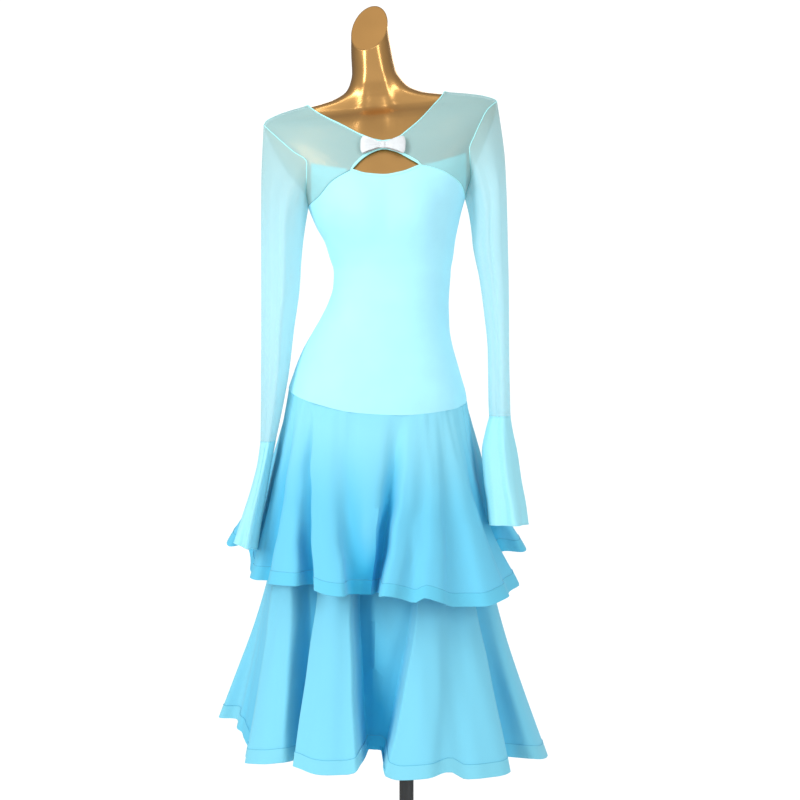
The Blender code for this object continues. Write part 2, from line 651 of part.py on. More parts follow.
def make_neckline_binding(front, back):
    """The band round the neck, from the top rows of both yokes."""
    first, last = SHOULDER_COLUMNS, YOKE_COLUMNS - SHOULDER_COLUMNS
    back_first, back_last = BACK_SHOULDER_COLUMNS, BACK_COLUMNS - BACK_SHOULDER_COLUMNS
    columns = [front[::-1, i] for i in range(first, last + 1)]
    columns += [back[::-1, i] for i in range(back_last - 1, back_first, -1)]
    points = band_rows(columns, BINDING_WIDTH)
    shoulders = (front[-1, first::-1], back[-1, back_first::-1]), (front[-1, last:], back[-1, back_last:])
    for place, lines in zip((0, last - first), shoulders):
        points[:, place] = sum(band_rows([line], BINDING_WIDTH)[:, 0] for line in lines) / 2
    rise = np.full((1, points.shape[1], 1), NECK_BINDING_LIFT)
    for place in (0, last - first):
        beside = place + np.arange(-2, 3)
        rise[0, beside, 0] = SHOULDER_BINDING_LIFTS
    strip("neckline_binding", points, rise)


def make_keyhole_binding(yoke, bodice):
    """The band round the keyhole, over the yoke above and the bodice below."""
    first, last = BUST_SEAM_COLUMNS, BUST_SEAM_COLUMNS + KEYHOLE_COLUMNS
    columns = [yoke[:, i] for i in range(first, last + 1)]
    columns += [bodice[::-1, i] for i in range(last - 1, first, -1)]
    points = band_rows(columns, KEYHOLE_BINDING_WIDTH)
    for place, beyond in ((0, yoke[0, first - 1]), (last - first, yoke[0, last + 1])):
        along = unit(beyond - points[-1, place]) * KEYHOLE_BINDING_WIDTH
        points[:, place] = points[-1, place] + along * np.array((1.0, 0.5, 0.0))[:, None]
    rise = np.full((1, points.shape[1], 1), KEYHOLE_BINDING_LIFT)
    rise[:, (0, last - first)] = KEYHOLE_CORNER_LIFT
    strip("keyhole_binding", points[::-1], rise)


def make_bow():
    """Two loops of folded ribbon and the knot between them, set against the chest."""
    x, z = BOW_PLACE
    angle, height = ring_place(np.array(x), np.array(z), True)
    centre = figure(angle, height, BOW_LIFT)
    out = unit(figure(angle, height, 10.0) - figure(angle, height, 0.0))
    sideways = unit(np.array((1.0, -out[0] / out[1], 0.0)))
    upward = np.cross(out, sideways)
    for name, way in (("bow_loop_right", -1.0), ("bow_loop_left", 1.0)):
        rows = []
        for level in BOW_RIBBON_ROWS:
            crease = BOW_CREASE * math.cos(math.pi * level)
            rows.append([
                centre + sideways * way * along + out * (ahead + crease * (along / 37.4) * 0.5)
                + upward * level * half
                for along, ahead, half in BOW_LOOP
            ])
        points = np.array(rows)
        normals = grid_normals(points, closed=False)
        wall(name, "white_satin", points - normals * BOW_WALL / 2, points + normals * BOW_WALL / 2)
    mesh = bmesh.new()
    bmesh.ops.create_uvsphere(mesh, u_segments=12, v_segments=8, radius=1.0)
    for vert in mesh.verts:
        local = [math.copysign(abs(value) ** 0.6, value) for value in vert.co]
        place = centre + out * 3.4
        place = place + sideways * local[0] * BOW_KNOT["half_x"] - out * local[1] * BOW_KNOT["half_y"]
        vert.co = (place + upward * local[2] * BOW_KNOT["half_z"]) * MM
    finish("bow_knot", "white_satin", mesh)


class Folds:
    """Ridges and valleys round a ring; the grid's columns follow them down."""

    def __init__(self, rows, step, steepness=0.0):
        self.top, self.hem, self.mid_depth, self.hem_depth = np.array(rows, float).T
        self.steepness = steepness
        following = np.roll(self.hem, -1)
        following[-1] += 360.0
        climbs = (np.roll(self.hem_depth, -1) - self.hem_depth) / HEM_MM_PER_DEGREE
        self.columns = []
        for place, reach in enumerate(np.hypot(following - self.hem, climbs)):
            count = max(2, round(reach / step))
            self.columns += [(place, k / count) for k in range(count)]

    def read(self, share):
        """Angles and depths of the columns at a share of the way down."""
        places, shares = (np.array(part) for part in zip(*self.columns))
        angles = self.top + (self.hem - self.top) * share
        levels = np.array((0.0, MID_SHARE, 1.0))
        depths = np.array([
            smooth(levels, np.array((0.0, mid, hem)), share)
            for mid, hem in zip(self.mid_depth, self.hem_depth)
        ])
        after = (places + 1) % len(angles)
        beyond = angles[after] + 360.0 * (after == 0)
        eased = (1 - np.cos(math.pi * shares)) / 2
        falling = depths[after] < depths[places]
        eased = np.where(falling, eased**RIDGE_BREADTH, 1 - (1 - eased) ** RIDGE_BREADTH)
        steep = self.steepness * step_up((share - 0.2) / 0.8)
        shares = shares + steep * np.sin(2 * math.pi * shares) / (2 * math.pi)
        return (
            angles[places] + (beyond - angles[places]) * shares,
            depths[places] + (depths[after] - depths[places]) * eased,
        )


def skirt_points(folds, rows, hem, oval, inset, spread):
    """Rows of a skirt from the hip seam to the hem, as one grid with the hem first."""
    grid = []
    for share in rows:
        angle, depth = folds.read(share)
        seam = figure(angle, HIP_SEAM.read("height", angle), inset)
        turn = np.radians(angle)
        flare = share**spread
        out = unit(np.stack((np.cos(turn) / oval["half_x"], np.sin(turn) / oval["half_y"]), axis=-1))
        hem_x = oval["x"] + oval["half_x"] * np.cos(turn)
        hem_y = oval["y"] + oval["half_y"] * np.sin(turn)
        x = seam[:, 0] + (hem_x - seam[:, 0]) * flare + out[:, 0] * depth
        y = seam[:, 1] + (hem_y - seam[:, 1]) * flare + out[:, 1] * depth
        start = seam[:, 2] - 2.5 * SEAM_HALF_GAP
        z = start + (hem.read("height", angle % 360.0) - start) * share
        grid.append(np.stack((x, y, z), axis=-1))
    return np.array(grid[::-1])


def thick(name, look, points, thickness, hem_thickness):
    """A ring of cloth of one thickness, thicker along its hem row."""
    normals = grid_normals(points, closed=True)
    widths = np.full((len(points), 1, 1), thickness)
    widths[0] = hem_thickness
    return wall(name, look, points - normals * widths / 2, points + normals * widths / 2, closed=True)


def make_skirts():
    out = sum(BODICE_WALL) / 2
    folds = Folds(TIER_FOLDS, FOLD_STEP, FOLD_STEEPNESS)
    tier = skirt_points(folds, TIER_ROWS, TIER_HEM, TIER_HEM_OVAL, out, TIER_SPREAD)
    thick("skirt_upper_tier", "aqua_georgette", tier, TIER_WALL, HEM_WALL)
    folds = Folds(LOWER_FOLDS, FOLD_STEP, FOLD_STEEPNESS)
    lower = skirt_points(folds, LOWER_ROWS, LOWER_HEM, LOWER_HEM_OVAL, out - LOWER_SKIRT_IN, LOWER_SPREAD)
    thick("skirt_lower", "aqua_georgette", lower, LOWER_WALL, HEM_WALL)


def tube(table, angle, height, depth):
    """Points of a hanging tube at angles and heights, moved out by the folds' depths."""
    turn = np.radians(angle)
    outer, inner = table.read("outer_x", height), table.read("inner_x", height)
    half = np.abs(outer - inner) / 2 + depth
    deep = table.read("half_depth", height) + depth
    x = (outer + inner) / 2 + half * np.cos(turn)
    y = table.read("centre_y", height) + deep * np.sin(turn)
    return np.stack((x, y), axis=-1)


def armhole_ring(side, half_count):
    """The closed armhole loop on the skin, in step with a ring whose angle 0 is towards +X."""
    front, back = (armhole(side, is_front, half_count) for is_front in (True, False))
    low = mesh_lift(front[:, None], True)[:, 0] + MESH_WALL / 2
    front = ring_place(front[:, 0], front[:, 1], True)
    back = ring_place(back[:, 0], back[:, 1], False)
    front = figure(front[:, 0], front[:, 1], low)
    back = figure(back[:, 0], back[:, 1], MESH_REST + MESH_WALL / 2)
    ring = (back[:-1], front[:0:-1]) if side == 0 else (back[:0:-1], front[:-1])
    return np.vstack(ring) + (SLEEVE_SEAM_GAP[side] * (-1, 1)[side], 0.0, 0.0)


def make_sleeve(side):
    """A sleeve from the armhole down to the wrist."""
    name = ("right", "left")[side]
    table = SLEEVES[name]
    folds = Folds(SLEEVE_FOLDS, SLEEVE_FOLD_STEP)
    top = armhole_ring(side, YOKE_ROWS)
    wrist = table.rows[0, 0]
    grid = [top]
    for share in SLEEVE_ROWS[1:]:
        angle, depth = folds.read(share)
        z = top[:, 2] + (wrist - top[:, 2]) * share
        blend = 1 - (1 - np.clip((top[:, 2] - z) / SLEEVE_BLEND, 0, 1)[:, None]) ** 2
        flat = top[:, :2] + (tube(table, angle, z, depth) - top[:, :2]) * blend
        grid.append(np.column_stack((flat, z)))
    points = drawn_in(np.array(grid[::-1]), 2 * SEAM_HALF_GAP, "t")
    thick("sleeve_" + name, "aqua_sheer_mesh", points, MESH_WALL, MESH_WALL)


def make_cuff(side):
    """The bell cuff below the wrist seam."""
    name = ("right", "left")[side]
    table = CUFFS[name]
    folds = Folds(CUFF_FOLDS, SLEEVE_FOLD_STEP)
    wrist_depth = Folds(SLEEVE_FOLDS, SLEEVE_FOLD_STEP).read(1.0)[1]
    low, high = table.rows[0, 0], table.rows[-1, 0]
    grid = []
    for share in CUFF_ROWS:
        angle, depth = folds.read(share)
        depth = depth + wrist_depth * (1 - share) ** 2
        z = np.full(len(angle), high + (low - high) * share)
        flat = tube(table, angle, z, depth)
        z = z + CUFF_HEM_SLOPE[name] * (flat[:, 0] - flat[:, 0].mean()) * share
        grid.append(np.column_stack((flat, z)))
    thick("cuff_" + name, "aqua_sheer_mesh", np.array(grid[::-1]), MESH_WALL, HEM_WALL * 0.75)


def main():
    for thing in list(bpy.data.objects):
        bpy.data.objects.remove(thing, do_unlink=True)
    collection = bpy.data.collections.new("ballroom_dance_dress")
    bpy.context.scene.collection.children.link(collection)
    make_form()
    make_stand()
    yoke_front, yoke_back = make_yoke(True), make_yoke(False)
    bodice_front = make_bodice(True)
    make_bodice(False)
    for side in (0, 1):
        make_underlay(side)
        make_sleeve(side)
        make_cuff(side)
    make_neckline_binding(yoke_front, yoke_back)
    make_keyhole_binding(yoke_front, bodice_front)
    make_bow()
    make_skirts()


main()
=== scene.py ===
"""Looks of the ballroom dance dress on its display form.

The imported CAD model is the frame. The cloth here is a set of thin, finer shells on the same figure, cut at
the same seams as the part's solids. Tables and sizes are in millimetres and degrees, as in the part's
source: +Z up, the front towards -Y, ring angle 0 at +X, 90 at the back, 180 at -X and 270 at the front.
Left and right in the names are the wearer's, so the left side is at +X.
"""
import math

import bmesh
import bpy
import numpy as np
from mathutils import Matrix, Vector


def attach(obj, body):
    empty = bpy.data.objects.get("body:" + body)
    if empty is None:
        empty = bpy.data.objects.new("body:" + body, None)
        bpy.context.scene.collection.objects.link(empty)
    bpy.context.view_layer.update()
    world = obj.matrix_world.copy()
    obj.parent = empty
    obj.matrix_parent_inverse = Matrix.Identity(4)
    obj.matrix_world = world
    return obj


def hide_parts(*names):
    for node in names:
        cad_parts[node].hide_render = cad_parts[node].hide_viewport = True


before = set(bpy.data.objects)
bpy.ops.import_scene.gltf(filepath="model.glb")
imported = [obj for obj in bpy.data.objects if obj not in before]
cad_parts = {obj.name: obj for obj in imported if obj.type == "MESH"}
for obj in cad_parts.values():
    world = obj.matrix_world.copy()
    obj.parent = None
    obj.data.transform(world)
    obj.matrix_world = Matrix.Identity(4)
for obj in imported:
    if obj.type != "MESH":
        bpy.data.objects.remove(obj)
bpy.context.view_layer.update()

MM = 0.001
# Mesh layer of painted shade on the skirts: darker down in their valleys, and on the tier also towards the
# hem
PAINTED_SHADE_LAYER = "painted_valley_shade"
SIDES = ("right", "left")
SIDE_ANGLES = (180.0, 360.0)

# Camera, as the photograph was taken, and the studio
CAMERA_PLACE = (-0.0114, -3.5, 0.853)
CAMERA_LENS = 89.5
WORLD_LIGHT = 0.62
WORLD_SEEN = 1.1
WORLD_MIRRORED = (0.75, 0.1)
FLOOR_RADIUS = 0.73
FLOOR_SEGMENTS = 128
FLOOR_COLOUR = (0.93, 0.93, 0.93)
LIGHTS = (
    # name, place, target, size, power
    ("key", (-2.6, -2.3, 2.0), (0, 0, 0.9), (1.2, 2.4), 88.0),
    ("fill", (2.4, -2.8, 1.3), (0, 0, 0.8), (0.9, 2.4), 42.0),
    ("upper", (-1.7, -1.5, 3.9), (0, 0, 1.35), (0.3, 1.8), 13.0),
    ("upper_left", (1.2, -1.8, 3.8), (0, 0, 1.35), (0.2, 1.6), 6.0),
    ("back", (0.6, 2.6, 2.4), (0, 0, 0.9), (2.4, 1.6), 35.0),
)

# Colours, linear
KNIT_COLOUR = (0.40, 0.84, 1.0)
BINDING_COLOUR = (0.42, 0.90, 0.92)
MESH_COLOUR = (0.50, 0.80, 0.84)
# The sleeves' mesh is painted lighter than the yoke's, as painted light for light shining through them from
# behind
SLEEVE_LIT_COLOUR = (0.62, 0.90, 0.95)
# The cuffs' mesh is painted lighter too, as painted light against the shade of the layers behind them
CUFF_LIT_COLOUR = (0.50, 0.93, 1.0)
GEORGETTE_LIGHT = (0.24, 0.73, 0.91)
# Painted shade tone of the georgette, laid into the skirts' valleys
GEORGETTE_PAINTED_SHADE = (0.045, 0.54, 0.83)
TIER_LIGHT = (0.31, 0.80, 0.96)
SATIN_COLOUR = (0.66, 0.69, 0.71)
# Dark painted shade tone for the cord of the wearer's right bust seam, the shaded side of its ridge
SEAM_SHADE_COLOUR = (0.10, 0.36, 0.42)
# The underlay's knit is painted lighter than the bodice's, as painted light against the shade of the mesh
# over it
UNDERLAY_LIT_COLOUR = (0.52, 1.0, 1.0)
STITCH_COLOUR = (0.09, 0.48, 0.68)
GOLD_COLOUR = (0.62, 0.34, 0.11)
BLACK_COLOUR = (0.02, 0.02, 0.02)
MESH_COVER = 0.5
SLEEVE_COVER = 0.55
CUFF_COVER = 0.93
WEAVE_SWING = 0.02
KNIT_PITCH = 0.0009
MESH_PITCH = 0.0010
SATIN_PITCH = 0.0006

# Sizes of the stand; a collar's row is how far beyond the pole's radius and above its foot it stands
BASE_RADIUS = 160.0
POLE_RADIUS = 12.5
POLE_FOOT = 22.0
FORM_FOOT = 620.0
POLE_GAP = 0.2
BASE_RIM = (6.0, 3.0)
BASE_TOP = ((0, 22), (23, 22), (24.4, 21.4), (25.2, 20), (27.4, 13), (30, 10.2), (34, 9.4), (120, 7.2))
POLE_COLLAR = ((4, 0), (4, 14), (2.5, 16), (0, 16.5))

# Cloth: distances out from the form's skin to the middle of each layer, and thicknesses
BODICE_OUT = 1.5
UNDERLAY_OUT = 0.2
MESH_OUT = 2.0
KNIT_THICKNESS = 0.8
MESH_THICKNESS = 0.4
GEORGETTE_THICKNESS = 0.6
HEM_BAND = 24.0
HEM_BAND_THICKNESS = 2.0
HEM_STITCH = 0.45
LOWER_SKIRT_IN = 1.9
BINDING_WIDTH = 8.0
KEYHOLE_BINDING_WIDTH = 5.0
BINDING_HEIGHT = 1.3
BINDING_EDGE = 0.25
BINDING_SUNK = 0.3
UNDERLAY_THICKNESS = 0.6
UNDERLAY_OVERLAP = 1.0
BODICE_RIPPLE = 0.35
RIPPLE_DEGREES = 22.0
RIPPLE_HEIGHT = 60.0
RIPPLE_SEED = 3
HIP_CREASE_HEIGHT = 60.0
SEAM_RADIUS = 0.7
ARMHOLE_SEAM_RADIUS = 0.9
CUFF_HEM_RADIUS = 0.9
WRIST_SEAM_RADIUS = 0.8

# Steps of the bindings' columns that run along a seam, and how many columns on that seam's direction is read
CORNER_STEPS = np.arange(9.0)[:, None]
CORNER_COLUMNS = 4
SHOULDER_STEPS = BINDING_WIDTH * np.linspace(0, 1.5, 7)

# Columns and rows of the grids
BUST_SEAM_COLUMNS = 18
KEYHOLE_COLUMNS = 24
SHOULDER_COLUMNS = 12
NECK_COLUMNS = 36
YOKE_COLUMNS = 2 * SHOULDER_COLUMNS + NECK_COLUMNS
YOKE_ROWS = 40
YOKE_ROW_POWER = 1.5
YOKE_SIDE_REACH = 0.3
NECK_CROWD = 0.6
BACK_COLUMNS = 48
BACK_SHOULDER_COLUMNS = 9
BODICE_ROWS = 90
FORM_COLUMNS = 144
FORM_RING_STEPS = ((FORM_FOOT, 1340.0, 8.0), (1340.0, 1438.0, 3.0))
NECK_RING_COUNT = 24
UNDERLAY_COLUMNS = 24
UNDERLAY_ROWS = 12
BINDING_ROWS = 9
HEM_BAND_ROWS = 9
BOW_COLUMNS = 41
BOW_ROWS = 25
SLEEVE_ROW_COUNT = 150
CUFF_ROW_COUNT = 60
TIER_ROW_COUNT = 80
LOWER_ROW_COUNT = 110

# Samples along a seam, and rounds for the places that are found step by step
EDGE_SAMPLES = 160
PLACE_ROUNDS = 20
CUT_ROUNDS = 12

# The wander that makes cloth uneven, and how softly a crease starts and ends
NOISE_OCTAVES = (1.0, 2.1, 4.3)
NOISE_FALL = 0.8
NOISE_SPREAD = 2.2
CREASE_FADE = 0.15


def smooth(knots, values, place):
    """Monotone cubic through the knots, which never overshoots a row."""
    place = np.clip(place, knots[0], knots[-1])
    gaps = np.diff(knots)
    slopes = np.diff(values) / gaps
    before, after = slopes[:-1], slopes[1:]
    same_way = before * after > 0
    total = np.where(same_way, before + after, 1.0)
    inner = np.where(same_way, 2 * before * after / total, 0.0)
    tangents = np.concatenate((slopes[:1], inner, slopes[-1:]))
    cell = np.clip(np.searchsorted(knots, place, side="right") - 1, 0, len(gaps) - 1)
    share = (place - knots[cell]) / gaps[cell]
    rest = 1 - share
    return (
        (1 + 2 * share) * rest**2 * values[cell]
        + share * rest**2 * gaps[cell] * tangents[cell]
        + share**2 * (3 - 2 * share) * values[cell + 1]
        - share**2 * rest * gaps[cell] * tangents[cell + 1]
    )


def step_up(share):
    """Smooth step from 0 to 1."""
    share = np.clip(share, 0.0, 1.0)
    return share * share * (3 - 2 * share)


class Table:
    """Rows under named columns, read smoothly at any value of the first column."""

    def __init__(self, columns, rows, turn=0.0):
        self.columns = columns.split()
        self.rows = np.array(rows, dtype=float)
        if turn:
            shift = np.zeros(self.rows.shape[1])
            shift[0] = turn
            self.rows = np.vstack((self.rows - shift, self.rows, self.rows + shift))

    def read(self, column, place):
        return smooth(self.rows[:, 0], self.rows[:, self.columns.index(column)], place)


# The figure, ring by ring; front and back are depths from centre_y, lean is the rise of a ring towards +X
FIGURE = Table(
    "height centre_x centre_y half_width front back squareness lean",
    (
        (600, -49, 10, 124, 82, 86, 2.2, 0.0),
        (700, -51, 10, 140, 90, 96, 2.2, 0.0),
        (780, -53, 11, 151, 97, 106, 2.25, 0.0),
        (850, -53, 12, 157, 102, 114, 2.3, 0.0),
        (903, -52, 8, 143.5, 97, 105, 2.3, 0.0),
        (938, -50, 6, 131.5, 92, 92, 2.3, 0.0),
        (973, -44, 4, 118, 87, 80, 2.25, 0.0),
        (1000, -37, 2, 109.5, 84, 74, 2.2, 0.0),
        (1026, -31, 0, 103, 81, 70, 2.2, 0.0),
        (1052, -26.5, 0, 100, 79, 68, 2.2, 0.0),
        (1079, -25, 0, 100.5, 80, 69, 2.2, 0.0),
        (1105, -26.5, 0, 106.5, 84, 73, 2.2, 0.004),
        (1132, -29, 0, 112.5, 90, 79, 2.25, 0.012),
        (1158, -33, 2, 122, 96, 84, 2.25, 0.024),
        (1184, -35, 4, 130.5, 99, 88, 2.3, 0.038),
        (1225, -36, 6, 145, 98, 92, 2.3, 0.064),
        (1265, -40, 8, 169, 90, 92, 2.3, 0.086),
        (1305, -43, 10, 190, 78, 88, 2.3, 0.092),
        (1335, -44, 12, 202, 64, 78, 2.2, 0.092),
        (1352, -45, 13, 206, 52, 66, 2.1, 0.092),
        (1362, -45, 14, 202, 43, 56, 2.0, 0.092),
        (1371, -45, 14, 182, 37, 50, 2.0, 0.092),
        (1377, -46, 14, 157, 36, 48, 2.0, 0.092),
        (1383, -47, 14, 121, 36, 46, 2.0, 0.092),
        (1389, -49, 14, 87, 38, 46, 2.0, 0.092),
        (1401, -51, 12, 57, 40, 46, 2.0, 0.092),
        (1412, -53, 10, 47.5, 42, 44, 2.0, 0.09),
        (1433, -57, 8, 39, 42, 42, 2.0, 0.08),
        (1466, -61.5, 3, 36, 40, 40, 2.0, 0.05),
        (1512, -65, -2, 32.5, 38, 38, 2.0, 0.02),
        (1600, -69, -8, 30, 35, 35, 2.0, 0.0),
    ),
)
BUST = {"across": 58.0, "height": 1174.0, "half_wide": 42.0, "half_tall": 50.0, "depth": 11.0}

# The neck ends in a flat oval that slopes up to the back and to the wearer's left
NECK_CUT_HEIGHT = 1510.0
NECK_CUT_SLOPE = 1.3
NECK_CUT_LEAN = 0.45
NECK_CENTRE_X = -65.0
THROAT = Table(
    "height right_x left_x tendon",
    ((1300, -77, -22, 0), (1325, -77, -22, 1.8), (1350, -76, -25, 4.2), (1380, -74, -32, 3.6),
     (1420, -73, -40, 2.2), (1460, -72, -48, 1.2), (1490, -70, -54, 0)),
)
TENDON_WIDTH = 8.0
THROAT_BACK = 40.0
THROAT_FADE = 60.0
HOLLOW = {"x": -31.0, "height": 1330.0, "radius": 13.0, "depth": 2.0}
NECK_ROUNDING = ((0.985, -0.35), (0.97, -0.1))
FORM_INSET = Table(
    "height inset",
    ((600, 12), (780, 9), (840, 6), (870, 3.5), (910, 1.2), (1180, 1.2), (1340, 1.6), (1362, 2.0),
     (1389, 1.2), (1409, 0), (1600, 0)),
)

# Seams and edges as seen from the front, from the wearer's right to the left
TIP_HEIGHTS = (1356.0, 1360.0)
NECK_POINT_HEIGHTS = (1382.0, 1384.0)
ARMPIT_HEIGHTS = (1199.0, 1202.0)
ARMHOLE_FRONT = (
    ((-220, 1307), (-196, 1285), (-172, 1264), (-172, 1244), (-174, 1215)),
    ((140, 1360), (128.4, 1338), (117, 1313), (108, 1288), (109, 1270), (111, 1250), (110, 1228)),
)
ARMHOLE_BACK = (
    ((-224, 1312), (-205, 1287), (-192, 1264), (-184, 1240), (-177, 1215)),
    ((146, 1360), (136, 1338), (128, 1313), (123, 1288), (119, 1264), (112, 1235)),
)
NECKLINE = (
    (-145.2, 1348.7), (-110.2, 1329.5), (-77.2, 1311), (-40.6, 1300), (-17.6, 1304.8), (-0.2, 1318.1),
    (21.1, 1337), (42, 1361),
)
NECKLINE_BACK = ((-140, 1362), (-105, 1350), (-52, 1342), (2, 1352), (36, 1370))
BUST_SEAM = (
    ((-152.4, 1203.9), (-128.2, 1229.5), (-92.4, 1249.5)),
    ((21.5, 1257.2), (55.1, 1249.8), (78.8, 1238.8), (93.5, 1227)),
)
KEYHOLE_UPPER = ((-74.8, 1267.5), (-55.1, 1279.5), (-39.4, 1283.7), (-20, 1279.8), (-0.1, 1269.6))
KEYHOLE_LOWER = ((-70.8, 1242.4), (-39.3, 1239.8), (-8, 1245.2))
BACK_SEAM = ((-150, 1212), (-110, 1232), (-38, 1243), (40, 1240), (82, 1225))
UNDERLAY_TOP = (
    ((-165, 1263), (-133.8, 1255.9), (-103, 1250.5)),
    ((32, 1259), (48, 1262.5), (71, 1270.2), (103, 1282)),
)
HIP_SEAM = Table(
    "angle height",
    ((180, 876), (200, 866), (233, 846), (260, 831), (283, 827), (315, 834), (340, 843), (360, 853),
     (405, 870), (450, 880), (495, 882)),
    turn=360.0,
)

# The skirts: an oval at the hem, and ridges and valleys that run down between the two angles of a row
TIER_HEM_OVAL = {"x": -50.0, "y": 15.0, "half_x": 238.0, "half_y": 214.0}
TIER_FOLDS = (
    # top_angle, hem_angle, depth at mid-height, depth at the hem
    (10, 22, 2, 34), (36, 42, -12, -28), (55, 60, 12, 30), (74, 77, -14, -30), (92, 94, 12, 32),
    (110, 111, -14, -30), (128, 128, 12, 26), (143, 142, -10, -22), (158, 161, 6, 38), (180, 182, -8, -14),
    (196, 197, -10, -12), (205, 207, -1, 3), (210, 218, -10, -16), (216, 230, 8, 28), (226, 245.5, -15, -38),
    (231, 247.5, 10, 28), (238, 254, 14, 34), (256, 262, -8, -26), (272, 265.5, 4, -36),
    (283, 269, -26, -60), (290, 273, 15, 40), (301, 281, 6, 26), (306, 289, 13, 34),
    (312, 302, 0, 18), (319, 320, 12, 36), (333, 335, -8, 18), (350, 354, -18, -34),
)
TIER_HEM = Table(
    "angle height",
    ((22, 594), (45, 590), (94, 585), (128, 594), (160, 611), (170, 596), (182, 566), (197, 551), (210, 545),
     (232, 543), (244, 541), (250, 533), (256, 529), (262, 528), (268, 526), (273, 531), (279, 525),
     (284, 518), (287, 526), (292, 520), (301, 508), (311, 507), (322, 516), (333, 526), (341, 532),
     (352, 556), (364, 578)),
    turn=360.0,
)
LOWER_HEM_OVAL = {"x": -45.0, "y": 12.0, "half_x": 270.0, "half_y": 224.0}
LOWER_FOLDS = (
    (20, 20, -12, -28), (38, 38, 10, 28), (55, 55, -16, -34), (72, 72, 10, 30), (88, 88, -18, -36),
    (104, 104, 10, 30), (119, 119, -16, -32), (135, 135, 8, 24), (144, 145, -4, -4), (157, 160, 6, 34),
    (171, 174, -6, -14), (182, 184, -12, -30), (190, 196, -12, -34), (196, 209, -8, -14),
    (200, 226, 9, 26), (210, 235, 6, 20), (217, 238.5, -32, -62), (238, 241, -30, -60), (241, 242, 11, 38),
    (247, 252, 17, 46), (252, 262, 13, 40), (256, 264.5, -42, -82), (284, 269, -16, -78),
    (305, 270.5, -16, -72), (308, 272, 13, 40), (314, 281, 17, 44), (320, 294, 8, 30), (326, 309, 13, 38),
    (336, 327, -24, -46), (346, 350, 4, 24),
)
LOWER_HEM = Table(
    "angle height",
    ((20, 232), (104, 236), (145, 258), (160, 284), (168, 282), (174, 276), (184, 262), (196, 246),
     (209, 238), (228, 244), (239, 250), (252, 239), (260, 240), (262.5, 244), (264.5, 261), (270.5, 261),
     (272, 238), (276, 232), (285, 234), (293, 240), (299, 226), (310, 226), (320, 231), (327, 240),
     (350, 230)),
    turn=360.0,
)
FOLD_STEP = 1.6
HEM_MM_PER_DEGREE = 4.0
RIDGE_BREADTH = 1.3
FOLD_STEEPNESS = 1.35
FULL_SWING = 50.0
MID_SHARE = 0.55
TIER_SPREAD = 1.1
LOWER_SPREAD = 1.5
STEEP_START = 0.15
STEEP_RUN = 0.75
WANDER = 1.6
WANDER_DEGREES = 30.0
WANDER_ROWS = 5.0
VALLEY_FADE = 0.35
TONE_FADE = 0.6

# The sleeves hang as empty tubes; the outer and inner edges are as seen from the front
SLEEVE_COLUMNS = "height outer_x inner_x centre_y half_depth"
SLEEVES = {
    "right": Table(
        SLEEVE_COLUMNS,
        ((780, -254.6, -229, -24, 36), (850, -254.6, -215, -16, 42), (903, -255, -206, -10, 46),
         (973, -255, -198, -4, 49), (1060, -255.5, -187, 2, 52), (1180, -256, -183, 5, 55),
         (1345, -255, -180, 8, 58)),
    ),
    "left": Table(
        SLEEVE_COLUMNS,
        ((824, 182, 144.5, -20, 38), (850, 181.5, 143.4, -17, 41), (938, 180.4, 142.5, -8, 46),
         (1008, 180.4, 136, -2, 49), (1061, 180, 129, 2, 51), (1132, 178.6, 117.5, 4, 53),
         (1202, 177, 119, 6, 56), (1345, 170, 112, 8, 58)),
    ),
}
CUFFS = {
    "right": Table(
        SLEEVE_COLUMNS,
        ((603, -295, -259, -66, 58), (650, -283, -252, -56, 50), (700, -269, -243, -44, 43),
         (744, -259, -236, -33, 38), (779.2, -254.6, -229, -24, 36)),
    ),
    "left": Table(
        SLEEVE_COLUMNS,
        ((638, 210, 142, -46, 54), (674, 206, 139, -41, 49), (709, 200, 134, -35, 45),
         (762, 193, 131, -27, 40), (800, 185.5, 138, -22, 38), (823.2, 182, 144.5, -20, 38)),
    ),
}
CUFF_HEM_SLOPE = {"right": -0.35, "left": 0.0}
SLEEVE_BLEND = 110.0
TUBE_STEP = 180.0 / YOKE_ROWS
TUBE_FOLD_DEGREES = 36
SLEEVE_FOLDS, CUFF_FOLDS = (
    [(k * TUBE_FOLD_DEGREES, k * TUBE_FOLD_DEGREES, *depths) for k, depths in enumerate(rows)]
    for rows in (
        ((0, 0), (-3, -2), (2, 2), (-4, -2), (1, 1), (0, 0), (1, 1), (-3, -3), (3, 2), (-4, -2)),
        ((1, 2), (-2, -6), (2, 5), (-2, -7), (2, 5), (-1, -2), (1, 4), (-2, -8), (2, 6), (-2, -6)),
    )
)

# Finer creases: where each is at the top, how far it wanders round, its width, depth, start and end
SLEEVE_CREASES = {
    "right": (
        (262, 14, 7, -3.2, 0.04, 0.85), (284, -10, 8, 2.6, 0.0, 0.7), (238, 18, 8, 2.4, 0.1, 1.1),
        (300, 4, 9, -2.6, 0.3, 1.1), (220, -6, 7, -2.0, 0.2, 0.9), (90, 10, 9, -3.0, 0.05, 0.9),
        (65, -12, 8, 2.2, 0.1, 1.1), (118, 8, 8, 2.4, 0.0, 0.8), (10, 8, 9, -1.6, 0.3, 1.1),
    ),
    "left": (
        (270, -12, 7, -3.0, 0.05, 0.9), (250, 10, 8, 2.4, 0.0, 0.8), (292, 12, 8, 2.6, 0.15, 1.1),
        (312, -8, 8, -2.2, 0.35, 1.1), (232, 6, 8, -2.2, 0.25, 1.1), (82, -10, 8, -2.8, 0.05, 0.9),
        (106, 10, 9, 2.4, 0.1, 1.1), (60, 6, 8, 2.0, 0.2, 0.8), (172, -8, 9, -1.6, 0.3, 1.1),
    ),
}
